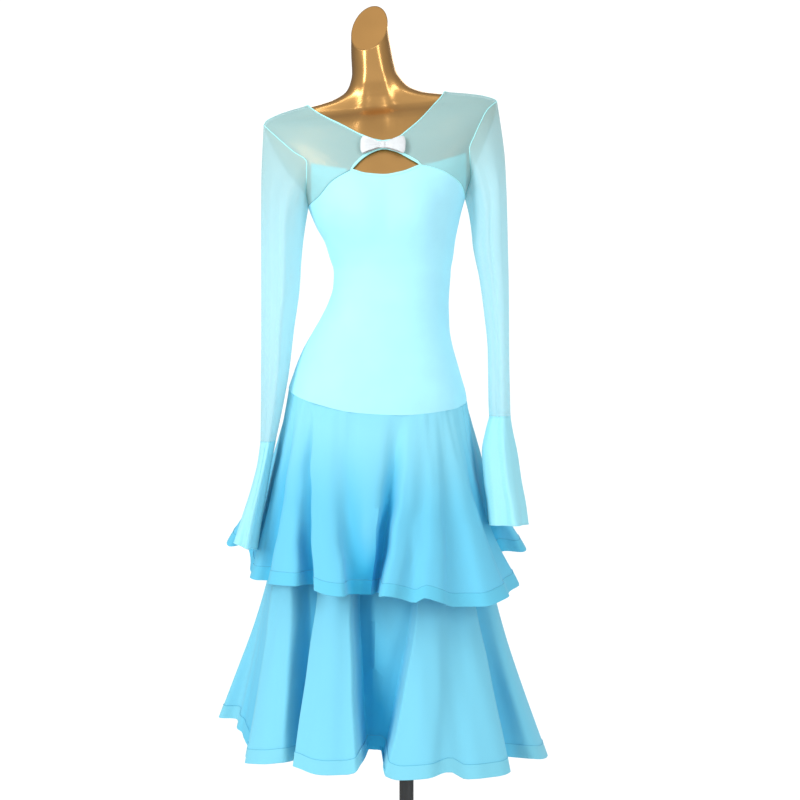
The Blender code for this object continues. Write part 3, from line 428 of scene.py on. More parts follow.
CUFF_CREASES = (
    (262, 6, 7, -2.4, 0.0, 1.2), (282, -4, 6, 2.0, 0.2, 1.2), (240, -8, 7, 1.8, 0.1, 1.2),
    (86, 5, 7, -2.2, 0.1, 1.2), (60, -5, 7, 1.8, 0.3, 1.2), (118, 6, 7, 1.8, 0.2, 1.2),
)
BODICE_CREASES = (
    (282, 2, 1.4, 0.9, 0.0, 1.2), (286, 4, 1.6, 0.8, 0.2, 1.2), (256, -3, 2.5, -0.6, 0.2, 1.2),
    (308, 3, 2.5, 0.6, 0.2, 1.2),
)

# The bow: a loop's ribbon from the front, round its end and back
BOW_PLACE = (-40.5, 1289.5)
BOW_LIFT = 5.2
BOW_REACH = 38.0
BOW_THICKNESS = 0.6
BOW_SEEDS = (5, 9)
BOW_WAVES = {"curl": 1.3, "pinch": 0.5, "ripple": 0.35, "edge": 0.8, "corner": 0.09}
BOW_LOOP = Table(
    "place along ahead half",
    ((0, 3.0, 2.9, 5.8), (1, 9, 4.2, 6.6), (2, 18, 5.6, 9.8), (3, 27, 6.0, 12.8), (4, 34, 4.9, 15.2),
     (5, 38.6, 2.6, 16.0), (6, 35.4, 0.8, 15.4), (7, 28, 0.3, 13.0), (8, 18, 0.1, 9.8), (9, 9, 0.2, 6.6),
     (10, 3.0, 0.5, 5.6)),
)
BOW_KNOT = {
    "half_x": 5.0, "half_y": 2.3, "half_z": 6.4, "ahead": 2.9, "waist": 0.18, "wrinkle": 0.25,
    "thickness": 0.5, "columns": 30, "rows": 15, "end_wide": 0.5, "end_deep": 0.75,
}


def skin(angle, height):
    """Points of the form's skin at ring angles and heights."""
    turn = np.radians(angle)
    cosine, sine = np.cos(turn), np.sin(turn)
    power = 2 / FIGURE.read("squareness", height)
    across = FIGURE.read("half_width", height) * np.sign(cosine) * np.abs(cosine) ** power
    depth = np.where(sine < 0, FIGURE.read("front", height), FIGURE.read("back", height))
    y = FIGURE.read("centre_y", height) + depth * np.sign(sine) * np.abs(sine) ** power
    beside = (np.abs(across) - BUST["across"]) / BUST["half_wide"]
    above = (height - BUST["height"]) / BUST["half_tall"]
    y = y - np.where(sine < 0, BUST["depth"] * np.exp(-(beside**2) - above**2) * np.abs(sine), 0.0)
    x = FIGURE.read("centre_x", height) + across
    z = height + FIGURE.read("lean", height) * across
    return np.stack((x, y, z), axis=-1)


def unit(vectors):
    return vectors / np.maximum(np.linalg.norm(vectors, axis=-1, keepdims=True), 1e-9)


def figure(angle, height, out):
    """Points at a distance out from the skin."""
    angle, height = np.broadcast_arrays(np.asarray(angle, float), np.asarray(height, float))
    step = 0.4
    around = skin(angle + step, height) - skin(angle - step, height)
    upward = skin(angle, height + step) - skin(angle, height - step)
    return skin(angle, height) + np.asarray(out)[..., None] * unit(np.cross(around, upward))


def ring_place(x, z, front):
    """Ring angle and height of the skin seen at x, z from the front, on its front or its back."""
    height = np.array(z, float)
    for _ in range(PLACE_ROUNDS):
        across = x - FIGURE.read("centre_x", height)
        height = z - FIGURE.read("lean", height) * across
    share = np.clip(np.abs(across) / FIGURE.read("half_width", height), 0, 1)
    cosine = np.sign(across) * share ** (FIGURE.read("squareness", height) / 2)
    turn = np.degrees(np.arccos(np.clip(cosine, -1, 1)))
    return np.stack((360 - turn if front else turn, height), axis=-1)


def on_ring(points, front):
    """Ring angles and heights of front-view points."""
    return ring_place(points[..., 0], points[..., 1], front)


def placed(places, out):
    """Points at a distance out from the skin, at ring angles and heights."""
    return figure(places[..., 0], places[..., 1], out)


def side_point(angle, height):
    """The front-view x and z of a point on the figure's side line."""
    point = skin(np.array(float(angle)), np.array(float(height)))
    return point[0], point[2]


def run_length(points):
    return np.concatenate(([0.0], np.cumsum(np.linalg.norm(np.diff(points, axis=0), axis=1))))


def edge(points, count, front=True, crowd=0.0):
    """Front-view points of a seam, made a smooth curve on the skin and spaced along it.

    A crowd of 0 spaces them evenly; nearer 1 they stand closer towards both ends.
    """
    points = np.array(points, float)
    length = run_length(points)
    fine = np.linspace(0, length[-1], EDGE_SAMPLES)
    x, z = (smooth(length, points[:, k], fine) for k in (0, 1))
    place = ring_place(x, z, front)
    on_skin = run_length(skin(place[:, 0], place[:, 1]))
    share = np.linspace(0, 1, count + 1)
    wanted = on_skin[-1] * (share - crowd * np.sin(2 * math.pi * share) / (2 * math.pi))
    return np.stack((np.interp(wanted, on_skin, x), np.interp(wanted, on_skin, z)), axis=-1)


def side_edge(angle, low, high, count, power=1.0):
    """The figure's side line between two heights."""
    share = np.linspace(0, 1, count + 1) ** power
    line = skin(np.full(count + 1, float(angle)), low + (high - low) * share)
    return line[:, (0, 2)]


def joined(*edges):
    """Edges end to end, with each shared corner once."""
    return np.vstack([edges[0]] + [each[1:] for each in edges[1:]])


def filled(bottom, top, left, right, reach=1.0, power=1.0):
    """A grid between four edges that share their corners, rows from the bottom up.

    The columns run straight from the bottom to the top edge, and bend with a side edge only
    within its reach, a share of the width.
    """
    s = np.linspace(0, 1, len(bottom))[None, :, None]
    v = 1 - (1 - np.linspace(0, 1, len(left))) ** power
    v = v[:, None, None]
    straight = (1 - v) * bottom[None] + v * top[None]
    bend_left = left[:, None] - straight[:, :1]
    bend_right = right[:, None] - straight[:, -1:]
    return straight + step_up(1 - s / reach) * bend_left + step_up(1 - (1 - s) / reach) * bend_right


def grid_normals(points, closed):
    """Outward normals of a grid whose columns run round by rising angle and whose rows run up."""
    if closed:
        around = np.roll(points, -1, axis=1) - np.roll(points, 1, axis=1)
    else:
        around = np.gradient(points, axis=1)
    return unit(np.cross(around, np.gradient(points, axis=0)))


def armhole(side, front, count):
    """One half of an armhole, from the armpit up to the shoulder tip, in the front view."""
    angle = SIDE_ANGLES[side]
    line = (ARMHOLE_FRONT if front else ARMHOLE_BACK)[side]
    points = (side_point(angle, TIP_HEIGHTS[side]), *line, side_point(angle, ARMPIT_HEIGHTS[side]))
    return edge(points, count, front)[::-1]


def bust_seam(side):
    """The seam between a side of the yoke and the bodice, by rising x."""
    armpit = side_point(SIDE_ANGLES[side], ARMPIT_HEIGHTS[side])
    points = (armpit, *BUST_SEAM[0]) if side == 0 else (*BUST_SEAM[1], armpit)
    return edge(points, BUST_SEAM_COLUMNS)


def front_top_edge(keyhole):
    """The top of the front bodice, or the bottom of the front yoke, across one edge of the keyhole."""
    corners = BUST_SEAM[0][-1], BUST_SEAM[1][0]
    middle = edge((corners[0], *keyhole, corners[1]), KEYHOLE_COLUMNS)
    return joined(bust_seam(0), middle, bust_seam(1))


def back_seam():
    ends = [side_point(SIDE_ANGLES[side], ARMPIT_HEIGHTS[side]) for side in (0, 1)]
    return edge((ends[0], *BACK_SEAM, ends[1]), BACK_COLUMNS, front=False)


def shoulder_and_neck(front):
    """The yoke's top edge: up one shoulder, round the neckline and down the other shoulder."""
    shoulder = SHOULDER_COLUMNS if front else BACK_SHOULDER_COLUMNS
    neck = NECK_COLUMNS if front else BACK_COLUMNS - 2 * BACK_SHOULDER_COLUMNS
    right = side_edge(180, TIP_HEIGHTS[0], NECK_POINT_HEIGHTS[0], shoulder)
    left = side_edge(360, TIP_HEIGHTS[1], NECK_POINT_HEIGHTS[1], shoulder)[::-1]
    line = NECKLINE if front else NECKLINE_BACK
    return joined(right, edge((right[-1], *line, left[0]), neck, front, NECK_CROWD), left)


def soft_noise(seed, *places):
    """A smooth wander between about -1 and 1, the same each run, over one or two places."""
    draw = np.random.default_rng(seed)
    total = 0.0
    for octave in NOISE_OCTAVES:
        wave = draw.uniform(0, 2 * math.pi)
        for place in places:
            wave = wave + place * octave * draw.uniform(0.7, 1.3)
        total = total + np.sin(wave) / octave**NOISE_FALL
    return total / NOISE_SPREAD


def creases(rows, angle, share):
    """Soft ridges and troughs down a ring or a tube, from rows of the creases' tables."""
    total = 0.0
    for centre, drift, width, depth, start, end in rows:
        away = (angle - centre - drift * share + 180.0) % 360.0 - 180.0
        along = step_up((share - start) / CREASE_FADE + 0.5) * step_up((end - share) / CREASE_FADE + 0.5)
        total = total + depth * np.exp(-((away / width) ** 2)) * along
    return total


def into_scene(name, data):
    piece = bpy.data.objects.new(name, data)
    bpy.context.scene.collection.objects.link(piece)
    return piece


def finish(name, mesh, material, sharp=50.0):
    """Puts a bmesh into the scene as a smooth-shaded piece that rides on the root."""
    bmesh.ops.recalc_face_normals(mesh, faces=mesh.faces)
    data = bpy.data.meshes.new(name)
    mesh.to_mesh(data)
    mesh.free()
    for face in data.polygons:
        face.use_smooth = True
    data.set_sharp_from_angle(angle=math.radians(sharp))
    data.materials.append(material)
    piece = into_scene(name, data)
    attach(piece, "root")
    return piece


def stands_for(node):
    """The CAD node that a piece is shown in place of."""
    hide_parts(node)


def wall(name, material, inner, outer, closed=False, depth=None):
    """A closed wall lofted between an inner and an outer grid of points."""
    rows, columns = inner.shape[:2]
    mesh = bmesh.new()
    layer = mesh.verts.layers.float.new(PAINTED_SHADE_LAYER)
    corner = []
    for grid in (inner, outer):
        lines = []
        for j, row in enumerate(grid):
            verts = [mesh.verts.new(point * MM) for point in row]
            # The depth values, when given, are painted shade, kept as a mesh layer for the georgette's
            # colour
            if depth is not None:
                for i, vert in enumerate(verts):
                    vert[layer] = float(depth[j, i])
            lines.append(verts)
        corner.append(lines)
    last = columns if closed else columns - 1
    for side, grid in enumerate(corner):
        for j in range(rows - 1):
            for i in range(last):
                k = (i + 1) % columns
                face = (grid[j][i], grid[j][k], grid[j + 1][k], grid[j + 1][i])
                mesh.faces.new(face if side else (face[0], *face[:0:-1]))
    for i in range(last):
        k = (i + 1) % columns
        mesh.faces.new((corner[0][0][i], corner[0][0][k], corner[1][0][k], corner[1][0][i]))
        mesh.faces.new((corner[1][-1][i], corner[1][-1][k], corner[0][-1][k], corner[0][-1][i]))
    if not closed:
        for j in range(rows - 1):
            mesh.faces.new((corner[0][j][0], corner[1][j][0], corner[1][j + 1][0], corner[0][j + 1][0]))
            mesh.faces.new((corner[1][j][-1], corner[0][j][-1], corner[0][j + 1][-1], corner[1][j + 1][-1]))
    return finish(name, mesh, material)


def cloth(name, material, points, thickness, closed=False, depth=None):
    """A thin wall of cloth about a grid of points."""
    normals = grid_normals(points, closed)
    half = thickness / 2
    return wall(name, material, points - normals * half, points + normals * half, closed, depth)


def thread(name, material, points, radius, closed=False):
    """A thin cord along a line of points, for a seam's ridge."""
    curve = bpy.data.curves.new(name, "CURVE")
    curve.dimensions = "3D"
    curve.bevel_depth = radius * MM
    curve.bevel_resolution = 2
    curve.use_fill_caps = True
    spline = curve.splines.new("POLY")
    spline.points.add(len(points) - 1)
    for point, place in zip(spline.points, points):
        point.co = (*(place * MM), 1.0)
    spline.use_cyclic_u = closed
    curve.materials.append(material)
    piece = into_scene(name, curve)
    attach(piece, "root")


# Materials
def set_inputs(tree, node, inputs):
    """Sets a node's inputs to values, or links them from the outputs of other nodes."""
    for key, value in inputs.items():
        if isinstance(value, bpy.types.NodeSocket):
            tree.links.new(value, node.inputs[key])
        else:
            node.inputs[key].default_value = value


def add_node(tree, kind, inputs=None):
    node = tree.nodes.new("ShaderNode" + kind)
    set_inputs(tree, node, inputs or {})
    return node


def math_node(tree, operation, *values):
    node = add_node(tree, "Math", dict(enumerate(values)))
    node.operation = operation
    return node.outputs[0]


def node_material(name, colour, inputs):
    material = bpy.data.materials.new(name)
    material.use_nodes = True
    tree = material.node_tree
    shader = tree.nodes["Principled BSDF"]
    set_inputs(tree, shader, {"Base Color": (*colour, 1.0), **inputs})
    return material, tree, shader


def noise_node(tree, scale, detail):
    place = add_node(tree, "TexCoord").outputs["Object"]
    return add_node(tree, "TexNoise", {"Scale": scale, "Detail": detail, "Vector": place}).outputs["Fac"]


def weave_node(tree, pitch):
    """Two crossed sets of threads at a pitch in metres, woven over and under."""
    place = add_node(tree, "TexCoord").outputs["Object"]
    axes = add_node(tree, "SeparateXYZ", {"Vector": place}).outputs
    waves = []
    for operation, axis in (("ADD", "X"), ("SUBTRACT", "Y")):
        across = math_node(tree, operation, axes[axis], axes["Z"])
        waves.append(math_node(tree, "SINE", math_node(tree, "MULTIPLY", across, 2 * math.pi / pitch)))
    return math_node(tree, "MULTIPLY", *waves)


def bump(tree, shader, height, strength, distance):
    node = add_node(tree, "Bump", {"Strength": strength, "Distance": distance, "Height": height})
    tree.links.new(node.outputs["Normal"], shader.inputs["Normal"])


def tinted(tree, shader, factor, tones, places=(0.3, 0.7)):
    """Colours a shader from one tone to another with a factor."""
    ramp = add_node(tree, "ValToRGB", {"Fac": factor})
    for element, place, tone in zip(ramp.color_ramp.elements, places, tones):
        element.position = place
        element.color = (*tone, 1.0)
    tree.links.new(ramp.outputs["Color"], shader.inputs["Base Color"])


def shade(colour, share):
    return tuple(min(channel * share, 1.0) for channel in colour)


def patchy(tree, shader, colour, shares, scale, detail=2.0):
    """Faint patches between two shares of a colour."""
    tinted(tree, shader, noise_node(tree, scale, detail), [shade(colour, share) for share in shares])


def knit(name, colour):
    """Close stretch knit: matt, with fine ribs, faint patches of tone and a soft sheen."""
    looks = {"Roughness": 0.72, "Sheen Weight": 0.25, "Sheen Roughness": 0.45}
    material, tree, shader = node_material(name, colour, looks)
    patchy(tree, shader, colour, (0.965, 1.02), scale=22.0, detail=3.0)
    bump(tree, shader, weave_node(tree, KNIT_PITCH), strength=0.25, distance=0.00015)
    return material


def translucent(tree, shader, share, colour):
    """Mixes a Translucent shader into a cloth, for light that comes through it."""
    through = add_node(tree, "BsdfTranslucent", {"Color": (*colour, 1.0)})
    mix = add_node(tree, "MixShader", {0: share, 1: shader.outputs["BSDF"], 2: through.outputs["BSDF"]})
    tree.links.new(mix.outputs["Shader"], tree.nodes["Material Output"].inputs["Surface"])
    return mix


def georgette(name, light, deep, share):
    """Matt crepe, a little translucent, with painted shade: its colour turns to a shade tone down in its
    folds and, on the tier, towards the hem.
    """
    material, tree, shader = node_material(name, light, {"Roughness": 0.85, "Sheen Weight": 0.15})
    layer = add_node(tree, "Attribute")
    layer.attribute_name = PAINTED_SHADE_LAYER
    # Painted shade: the light tone turns to the shade tone where the layer is high
    tinted(tree, shader, layer.outputs["Fac"], (light, deep), places=(0.05, 0.95))
    bump(tree, shader, noise_node(tree, scale=1400.0, detail=3.0), strength=0.25, distance=0.0002)
    translucent(tree, shader, share, light)
    return material


def sheer(name, colour, cover, share):
    """Fine see-through mesh: its holes are far smaller than a pixel, so they are an even share."""
    material, tree, shader = node_material(name, colour, {"Roughness": 0.7, "Sheen Weight": 0.2})
    bump(tree, shader, weave_node(tree, MESH_PITCH), strength=0.08, distance=0.00015)
    mix = translucent(tree, shader, share, colour)
    clear = add_node(tree, "BsdfTransparent")
    covered = add_node(tree, "MapRange", {
        "Value": weave_node(tree, MESH_PITCH), "From Min": -1.0,
        "To Min": cover - WEAVE_SWING, "To Max": cover + WEAVE_SWING,
    })
    holes = add_node(tree, "MixShader", {
        0: covered.outputs["Result"], 1: clear.outputs["BSDF"], 2: mix.outputs["Shader"],
    })
    tree.links.new(holes.outputs["Shader"], tree.nodes["Material Output"].inputs["Surface"])
    return material


def satin(name, colour):
    material, tree, shader = node_material(name, colour, {"Roughness": 0.38, "Sheen Weight": 0.3})
    patchy(tree, shader, colour, (0.95, 1.03), scale=120.0)
    bump(tree, shader, weave_node(tree, SATIN_PITCH), strength=0.15, distance=0.0001)
    return material


def lacquer(name, colour, roughness, coat):
    """Gold lacquer over a moulded body: faint waviness, and a clear coat where it is glossy."""
    looks = {"Roughness": roughness, "Metallic": 0.9, "Coat Weight": coat, "Coat Roughness": 0.12}
    material, tree, shader = node_material(name, colour, looks)
    patchy(tree, shader, colour, (0.9, 1.06), scale=9.0)
    bump(tree, shader, noise_node(tree, scale=9.0, detail=0.0), strength=0.02, distance=0.002)
    return material


def enamel(name, colour, roughness):
    material, tree, shader = node_material(name, colour, {"Roughness": roughness, "Coat Weight": 0.3})
    bump(tree, shader, noise_node(tree, scale=700.0, detail=2.0), strength=0.1, distance=0.0002)
    return material


def make_materials():
    return {
        "knit": knit("bodice_knit", KNIT_COLOUR),
        "underlay": knit("underlay_knit_painted_light", UNDERLAY_LIT_COLOUR),
        "binding": knit("binding_knit", BINDING_COLOUR),
        "mesh": sheer("yoke_mesh", MESH_COLOUR, MESH_COVER, share=0.25),
        "sleeve": sheer("sleeve_mesh_painted_light", SLEEVE_LIT_COLOUR, SLEEVE_COVER, share=0.45),
        "cuff": sheer("cuff_mesh_painted_light", CUFF_LIT_COLOUR, CUFF_COVER, share=0.35),
        "seam": knit("seam_painted_shade", SEAM_SHADE_COLOUR),
        "stitch": knit("hem_thread", STITCH_COLOUR),
        "skirt_lower": georgette("skirt_georgette", GEORGETTE_LIGHT, GEORGETTE_PAINTED_SHADE, share=0.25),
        "skirt_upper_tier": georgette("tier_georgette", TIER_LIGHT, GEORGETTE_PAINTED_SHADE, share=0.25),
        "hem": georgette("hem_georgette", shade(GEORGETTE_LIGHT, 0.93), GEORGETTE_PAINTED_SHADE, share=0.15),
        "satin": satin("bow_satin", SATIN_COLOUR),
        "gold": lacquer("form_gold", GOLD_COLOUR, roughness=0.3, coat=0.2),
        "matt_gold": lacquer("neck_cut_gold", GOLD_COLOUR, roughness=0.5, coat=0.0),
        "black": enamel("stand_black", BLACK_COLOUR, roughness=0.35),
    }


# The form and its stand
def throat(points):
    """How far the front of the neck and chest stands out: two tendons that meet at a small hollow."""
    front = step_up((THROAT_BACK - points[:, 1]) / THROAT_FADE)
    rise = 0.0
    for column in ("right_x", "left_x"):
        away = (points[:, 0] - THROAT.read(column, points[:, 2])) / TENDON_WIDTH
        rise = rise + THROAT.read("tendon", points[:, 2]) * np.exp(-(away**2))
    away = np.hypot(points[:, 0] - HOLLOW["x"], points[:, 2] - HOLLOW["height"]) / HOLLOW["radius"]
    return front * (rise - HOLLOW["depth"] * np.exp(-(away**2)))


def make_form(materials):
    """The limbless body, cut to a sloping oval at the neck, with a matt cut face."""
    angles = np.arange(FORM_COLUMNS) * 360.0 / FORM_COLUMNS
    heights = np.concatenate([np.arange(*steps) for steps in FORM_RING_STEPS])
    rings = [
        figure(angles, np.full(FORM_COLUMNS, height), -FORM_INSET.read("inset", height))
        for height in heights
    ]
    rings[0][:, 2] = FORM_FOOT
    top_heights = np.full(FORM_COLUMNS, NECK_CUT_HEIGHT)
    for _ in range(CUT_ROUNDS):
        top = skin(angles, top_heights)
        slope = NECK_CUT_HEIGHT + NECK_CUT_SLOPE * top[:, 1] + NECK_CUT_LEAN * (top[:, 0] - NECK_CENTRE_X)
        top_heights = top_heights + (slope - top[:, 2])
    for share in np.linspace(0, 1, NECK_RING_COUNT + 1)[1:]:
        rings.append(skin(angles, heights[-1] + (top_heights - heights[-1]) * share))
    for ring in rings[1:]:
        ring[:, 1] -= throat(ring)
    centre = rings[-1].mean(axis=0)
    for grow, drop in NECK_ROUNDING:
        rings.append(centre + (rings[-1] - centre) * grow - (0.0, 0.0, drop))
    mesh = bmesh.new()
    corners = [[mesh.verts.new(point * MM) for point in ring] for ring in rings]
    for lower, upper in zip(corners, corners[1:]):
        for i in range(FORM_COLUMNS):
            k = (i + 1) % FORM_COLUMNS
            mesh.faces.new((lower[i], lower[k], upper[k], upper[i]))
    mesh.faces.new(corners[0][::-1])
    cut = mesh.faces.new(corners[-1])
    cut.material_index = 1
    piece = finish("gold_form", mesh, materials["gold"], sharp=35.0)
    piece.data.materials.append(materials["matt_gold"])
    stands_for("form_body")


def turned(name, material, profile, steps=96):
    """A turned piece from its profile of radii and heights, which starts and ends on the axis."""
    mesh = bmesh.new()
    turns = 2 * math.pi * np.arange(steps) / steps
    rings = []
    for radius, height in profile:
        points = [(radius * math.cos(turn), radius * math.sin(turn), height) for turn in turns]
        rings.append([mesh.verts.new(Vector(point) * MM) for point in (points if radius else points[:1])])
    for lower, upper in zip(rings, rings[1:]):
        for i in range(steps):
            k = (i + 1) % steps
            corners = (ring[j % len(ring)] for ring, j in ((lower, i), (lower, k), (upper, k), (upper, i)))
            mesh.faces.new(tuple(dict.fromkeys(corners)))
    return finish(name, mesh, material, sharp=40.0)


def make_stand(materials):
    """The base plate with its rounded rim and boss, and the pole with a collar at its foot."""
    wide, high = BASE_RIM
    rim = [
        (BASE_RADIUS - wide + wide * math.sin(turn), high + high * math.cos(turn))
        for turn in np.linspace(0, math.pi / 2, 8)
    ]
    profile = [*BASE_TOP, *rim, (BASE_RADIUS, 1.0), (BASE_RADIUS - 1.0, 0.0), (0, 0)]
    base = turned("black_base", materials["black"], profile)
    stands_for("stand_base")
    collar = [(POLE_RADIUS + beyond, POLE_FOOT + above) for beyond, above in POLE_COLLAR]
    top = FORM_FOOT - POLE_GAP
    profile = [(0, POLE_FOOT), *collar, (POLE_RADIUS, top), (0, top)]
    pole = turned("black_pole", materials["black"], profile, steps=64)
    stands_for("stand_pole")


# The bodice and the yoke
def make_yoke(front, material):
    bottom = front_top_edge(KEYHOLE_UPPER) if front else back_seam()
    sides = [armhole(side, front, YOKE_ROWS) for side in (0, 1)]
    grid = filled(bottom, shoulder_and_neck(front), *sides, YOKE_SIDE_REACH, YOKE_ROW_POWER)
    points = placed(on_ring(grid, front), MESH_OUT)
    name = "yoke_front" if front else "yoke_back"
    piece = cloth("sheer_" + name, material, points, MESH_THICKNESS)
    stands_for(name)
    return points


def side_seam(side, count):
    angle = SIDE_ANGLES[side]
    heights = np.linspace(HIP_SEAM.read("height", angle), ARMPIT_HEIGHTS[side], count + 1)
    return np.stack((np.full(count + 1, angle), heights), axis=-1)


def make_bodice(front, material):
    top = front_top_edge(KEYHOLE_LOWER) if front else back_seam()
    top = on_ring(top, front)
    sides = [side_seam(side, BODICE_ROWS) for side in (0, 1)]
    if not front:
        sides[1] = sides[1] - (360.0, 0.0)
    top[0], top[-1] = sides[0][-1], sides[1][-1]
    angles = np.linspace(sides[0][0][0], sides[1][0][0], len(top))
    bottom = np.stack((angles, HIP_SEAM.read("height", angles)), axis=-1)
    bottom[0], bottom[-1] = sides[0][0], sides[1][0]
    places = filled(bottom, top, *sides)
    if not front:
        places = places[:, ::-1]
    angle, height = places[..., 0], places[..., 1]
    ripple = soft_noise(RIPPLE_SEED, angle / RIPPLE_DEGREES, height / RIPPLE_HEIGHT)
    out = BODICE_OUT + BODICE_RIPPLE * (1 + ripple)
    above = (height - HIP_SEAM.read("height", angle)) / HIP_CREASE_HEIGHT
    out = out + creases(BODICE_CREASES, angle, np.clip(1 - above, 0, 1)) * step_up(1 - above)
    points = placed(places, out)
    name = "bodice_front" if front else "bodice_back"
    piece = cloth("knit_" + name, material, points, KNIT_THICKNESS)
    stands_for(name)
    return points


def make_underlay(side, material):
    """The opaque triangle behind the sheer cloth, between the bust seam and its own top line."""
    seam = bust_seam(side)
    top = edge(UNDERLAY_TOP[side], UNDERLAY_COLUMNS)
    seam_height = np.interp(top[:, 0], seam[:, 0], seam[:, 1])
    low = edge(np.stack((top[:, 0], seam_height - UNDERLAY_OVERLAP), axis=-1), UNDERLAY_COLUMNS)
    share = np.linspace(0, 1, UNDERLAY_ROWS + 1)[:, None, None]
    grid = (1 - share) * low[None] + share * top[None]
    name = "underlay_" + SIDES[side]
    piece = cloth("knit_" + name, material, placed(on_ring(grid, True), UNDERLAY_OUT), UNDERLAY_THICKNESS)
    stands_for(name)


def walk(column, distance):
    """The point at a distance along a column of points."""
    length = run_length(column)
    return np.array([np.interp(distance, length, column[:, k]) for k in range(3)])


def binding(name, material, columns, width):
    """A folded strip round an opening: a low round-backed band over its columns' first stretch."""
    shares = (1 - np.cos(np.linspace(0, math.pi, BINDING_ROWS))) / 2
    points = np.array([[walk(column, width * share) for column in columns] for share in shares[::-1]])
    normals = grid_normals(points, closed=True)
    crown = BINDING_EDGE + BINDING_HEIGHT * np.sqrt(1 - (2 * shares[::-1] - 1) ** 2)
    inner, outer = points - normals * BINDING_SUNK, points + normals * crown[:, None, None]
    return wall(name, material, inner, outer, closed=True)


def make_neckline_binding(front, back, material):
    """The band round the neckline; its two shoulder columns run midway between front and back."""
    first, last = SHOULDER_COLUMNS, YOKE_COLUMNS - SHOULDER_COLUMNS
    back_first, back_last = BACK_SHOULDER_COLUMNS, BACK_COLUMNS - BACK_SHOULDER_COLUMNS
    columns = [front[::-1, i] for i in range(first, last + 1)]
    columns += [back[::-1, i] for i in range(back_last - 1, back_first, -1)]
    shoulders = (front[-1, first::-1], back[-1, back_first::-1]), (front[-1, last:], back[-1, back_last:])
    for place, lines in zip((0, last - first), shoulders):
        columns[place] = sum(np.array([walk(line, step) for step in SHOULDER_STEPS]) for line in lines) / 2
    piece = binding("neckline_band", material, columns, BINDING_WIDTH)
    stands_for("neckline_binding")


def make_keyhole_binding(yoke, bodice, material):
    """The band round the keyhole; its two corner columns run out along the bust seams."""
    first, last = BUST_SEAM_COLUMNS, BUST_SEAM_COLUMNS + KEYHOLE_COLUMNS
    columns = [yoke[:, i] for i in range(first, last + 1)]
    columns += [bodice[::-1, i] for i in range(last - 1, first, -1)]
    for place, beyond in ((0, first - CORNER_COLUMNS), (last - first, last + CORNER_COLUMNS)):
        start = (yoke[0, first + place] + bodice[-1, first + place]) / 2
        along = unit((yoke[0, beyond] + bodice[-1, beyond]) / 2 - start)
        columns[place] = start + along * CORNER_STEPS
    piece = binding("keyhole_band", material, columns[::-1], KEYHOLE_BINDING_WIDTH)
    stands_for("keyhole_binding")


def make_bow(material):
    """Two soft loops of ribbon, pinched in the middle by a narrow wrap."""
    x, z = BOW_PLACE
    angle, height = ring_place(np.array(x), np.array(z), True)
    centre = figure(angle, height, BOW_LIFT)
    out = unit(figure(angle, height, 10.0) - figure(angle, height, 0.0))
    sideways = unit(np.array((1.0, -out[0] / out[1], 0.0)))
    upward = np.cross(out, sideways)
    path = np.linspace(0, BOW_LOOP.rows[-1, 0], BOW_COLUMNS)
    level = np.linspace(-1, 1, BOW_ROWS)[:, None]
    waves = BOW_WAVES

    # A loop's face curls near its end, gathers at the pinch and ripples all along
    for side, way, seed in zip(SIDES, (-1.0, 1.0), BOW_SEEDS):
        along, ahead, half = (BOW_LOOP.read(column, path)[None] for column in ("along", "ahead", "half"))
        reach = along / BOW_REACH
        curl = np.cos(math.pi * 1.5 * level + 0.4 * way) * (1 - 0.3 * reach)
        ahead = ahead + waves["curl"] * reach * curl
        ahead = ahead + waves["pinch"] * (1 - reach) * np.cos(math.pi * 4.0 * level)
        ahead = ahead + waves["ripple"] * soft_noise(seed, level * 4.0, along / 8.0)
        rise = half * level + waves["edge"] * reach * soft_noise(seed + 1, along / 9.0 + level)
        along = along * (1 - waves["corner"] * reach * level**4)
        points = centre + (
            sideways * way * along[..., None] + out * ahead[..., None] + upward * rise[..., None]
        )
        piece = cloth("satin_bow_loop_" + side, material, points, BOW_THICKNESS)
        stands_for("bow_loop_" + side)
    knot = BOW_KNOT
    turn = np.radians(np.arange(knot["columns"]) * 360.0 / knot["columns"])[:, None]
    rows = []
    for share in np.linspace(-1, 1, knot["rows"]):
        pinch = 1 - knot["waist"] * math.cos(math.pi * share)
        wide = knot["half_x"] * pinch * (1 - knot["end_wide"] * share**6)
        deep = knot["half_y"] * (1 - knot["end_deep"] * share**4)
        around = sideways * np.cos(turn) * wide - out * np.sin(turn) * deep
        wrinkle = out * knot["wrinkle"] * np.cos(5 * turn)
        rows.append(centre + out * knot["ahead"] + around + wrinkle + upward * share * knot["half_z"])
    piece = cloth("satin_bow_knot", material, np.array(rows), knot["thickness"], closed=True)
    stands_for("bow_knot")


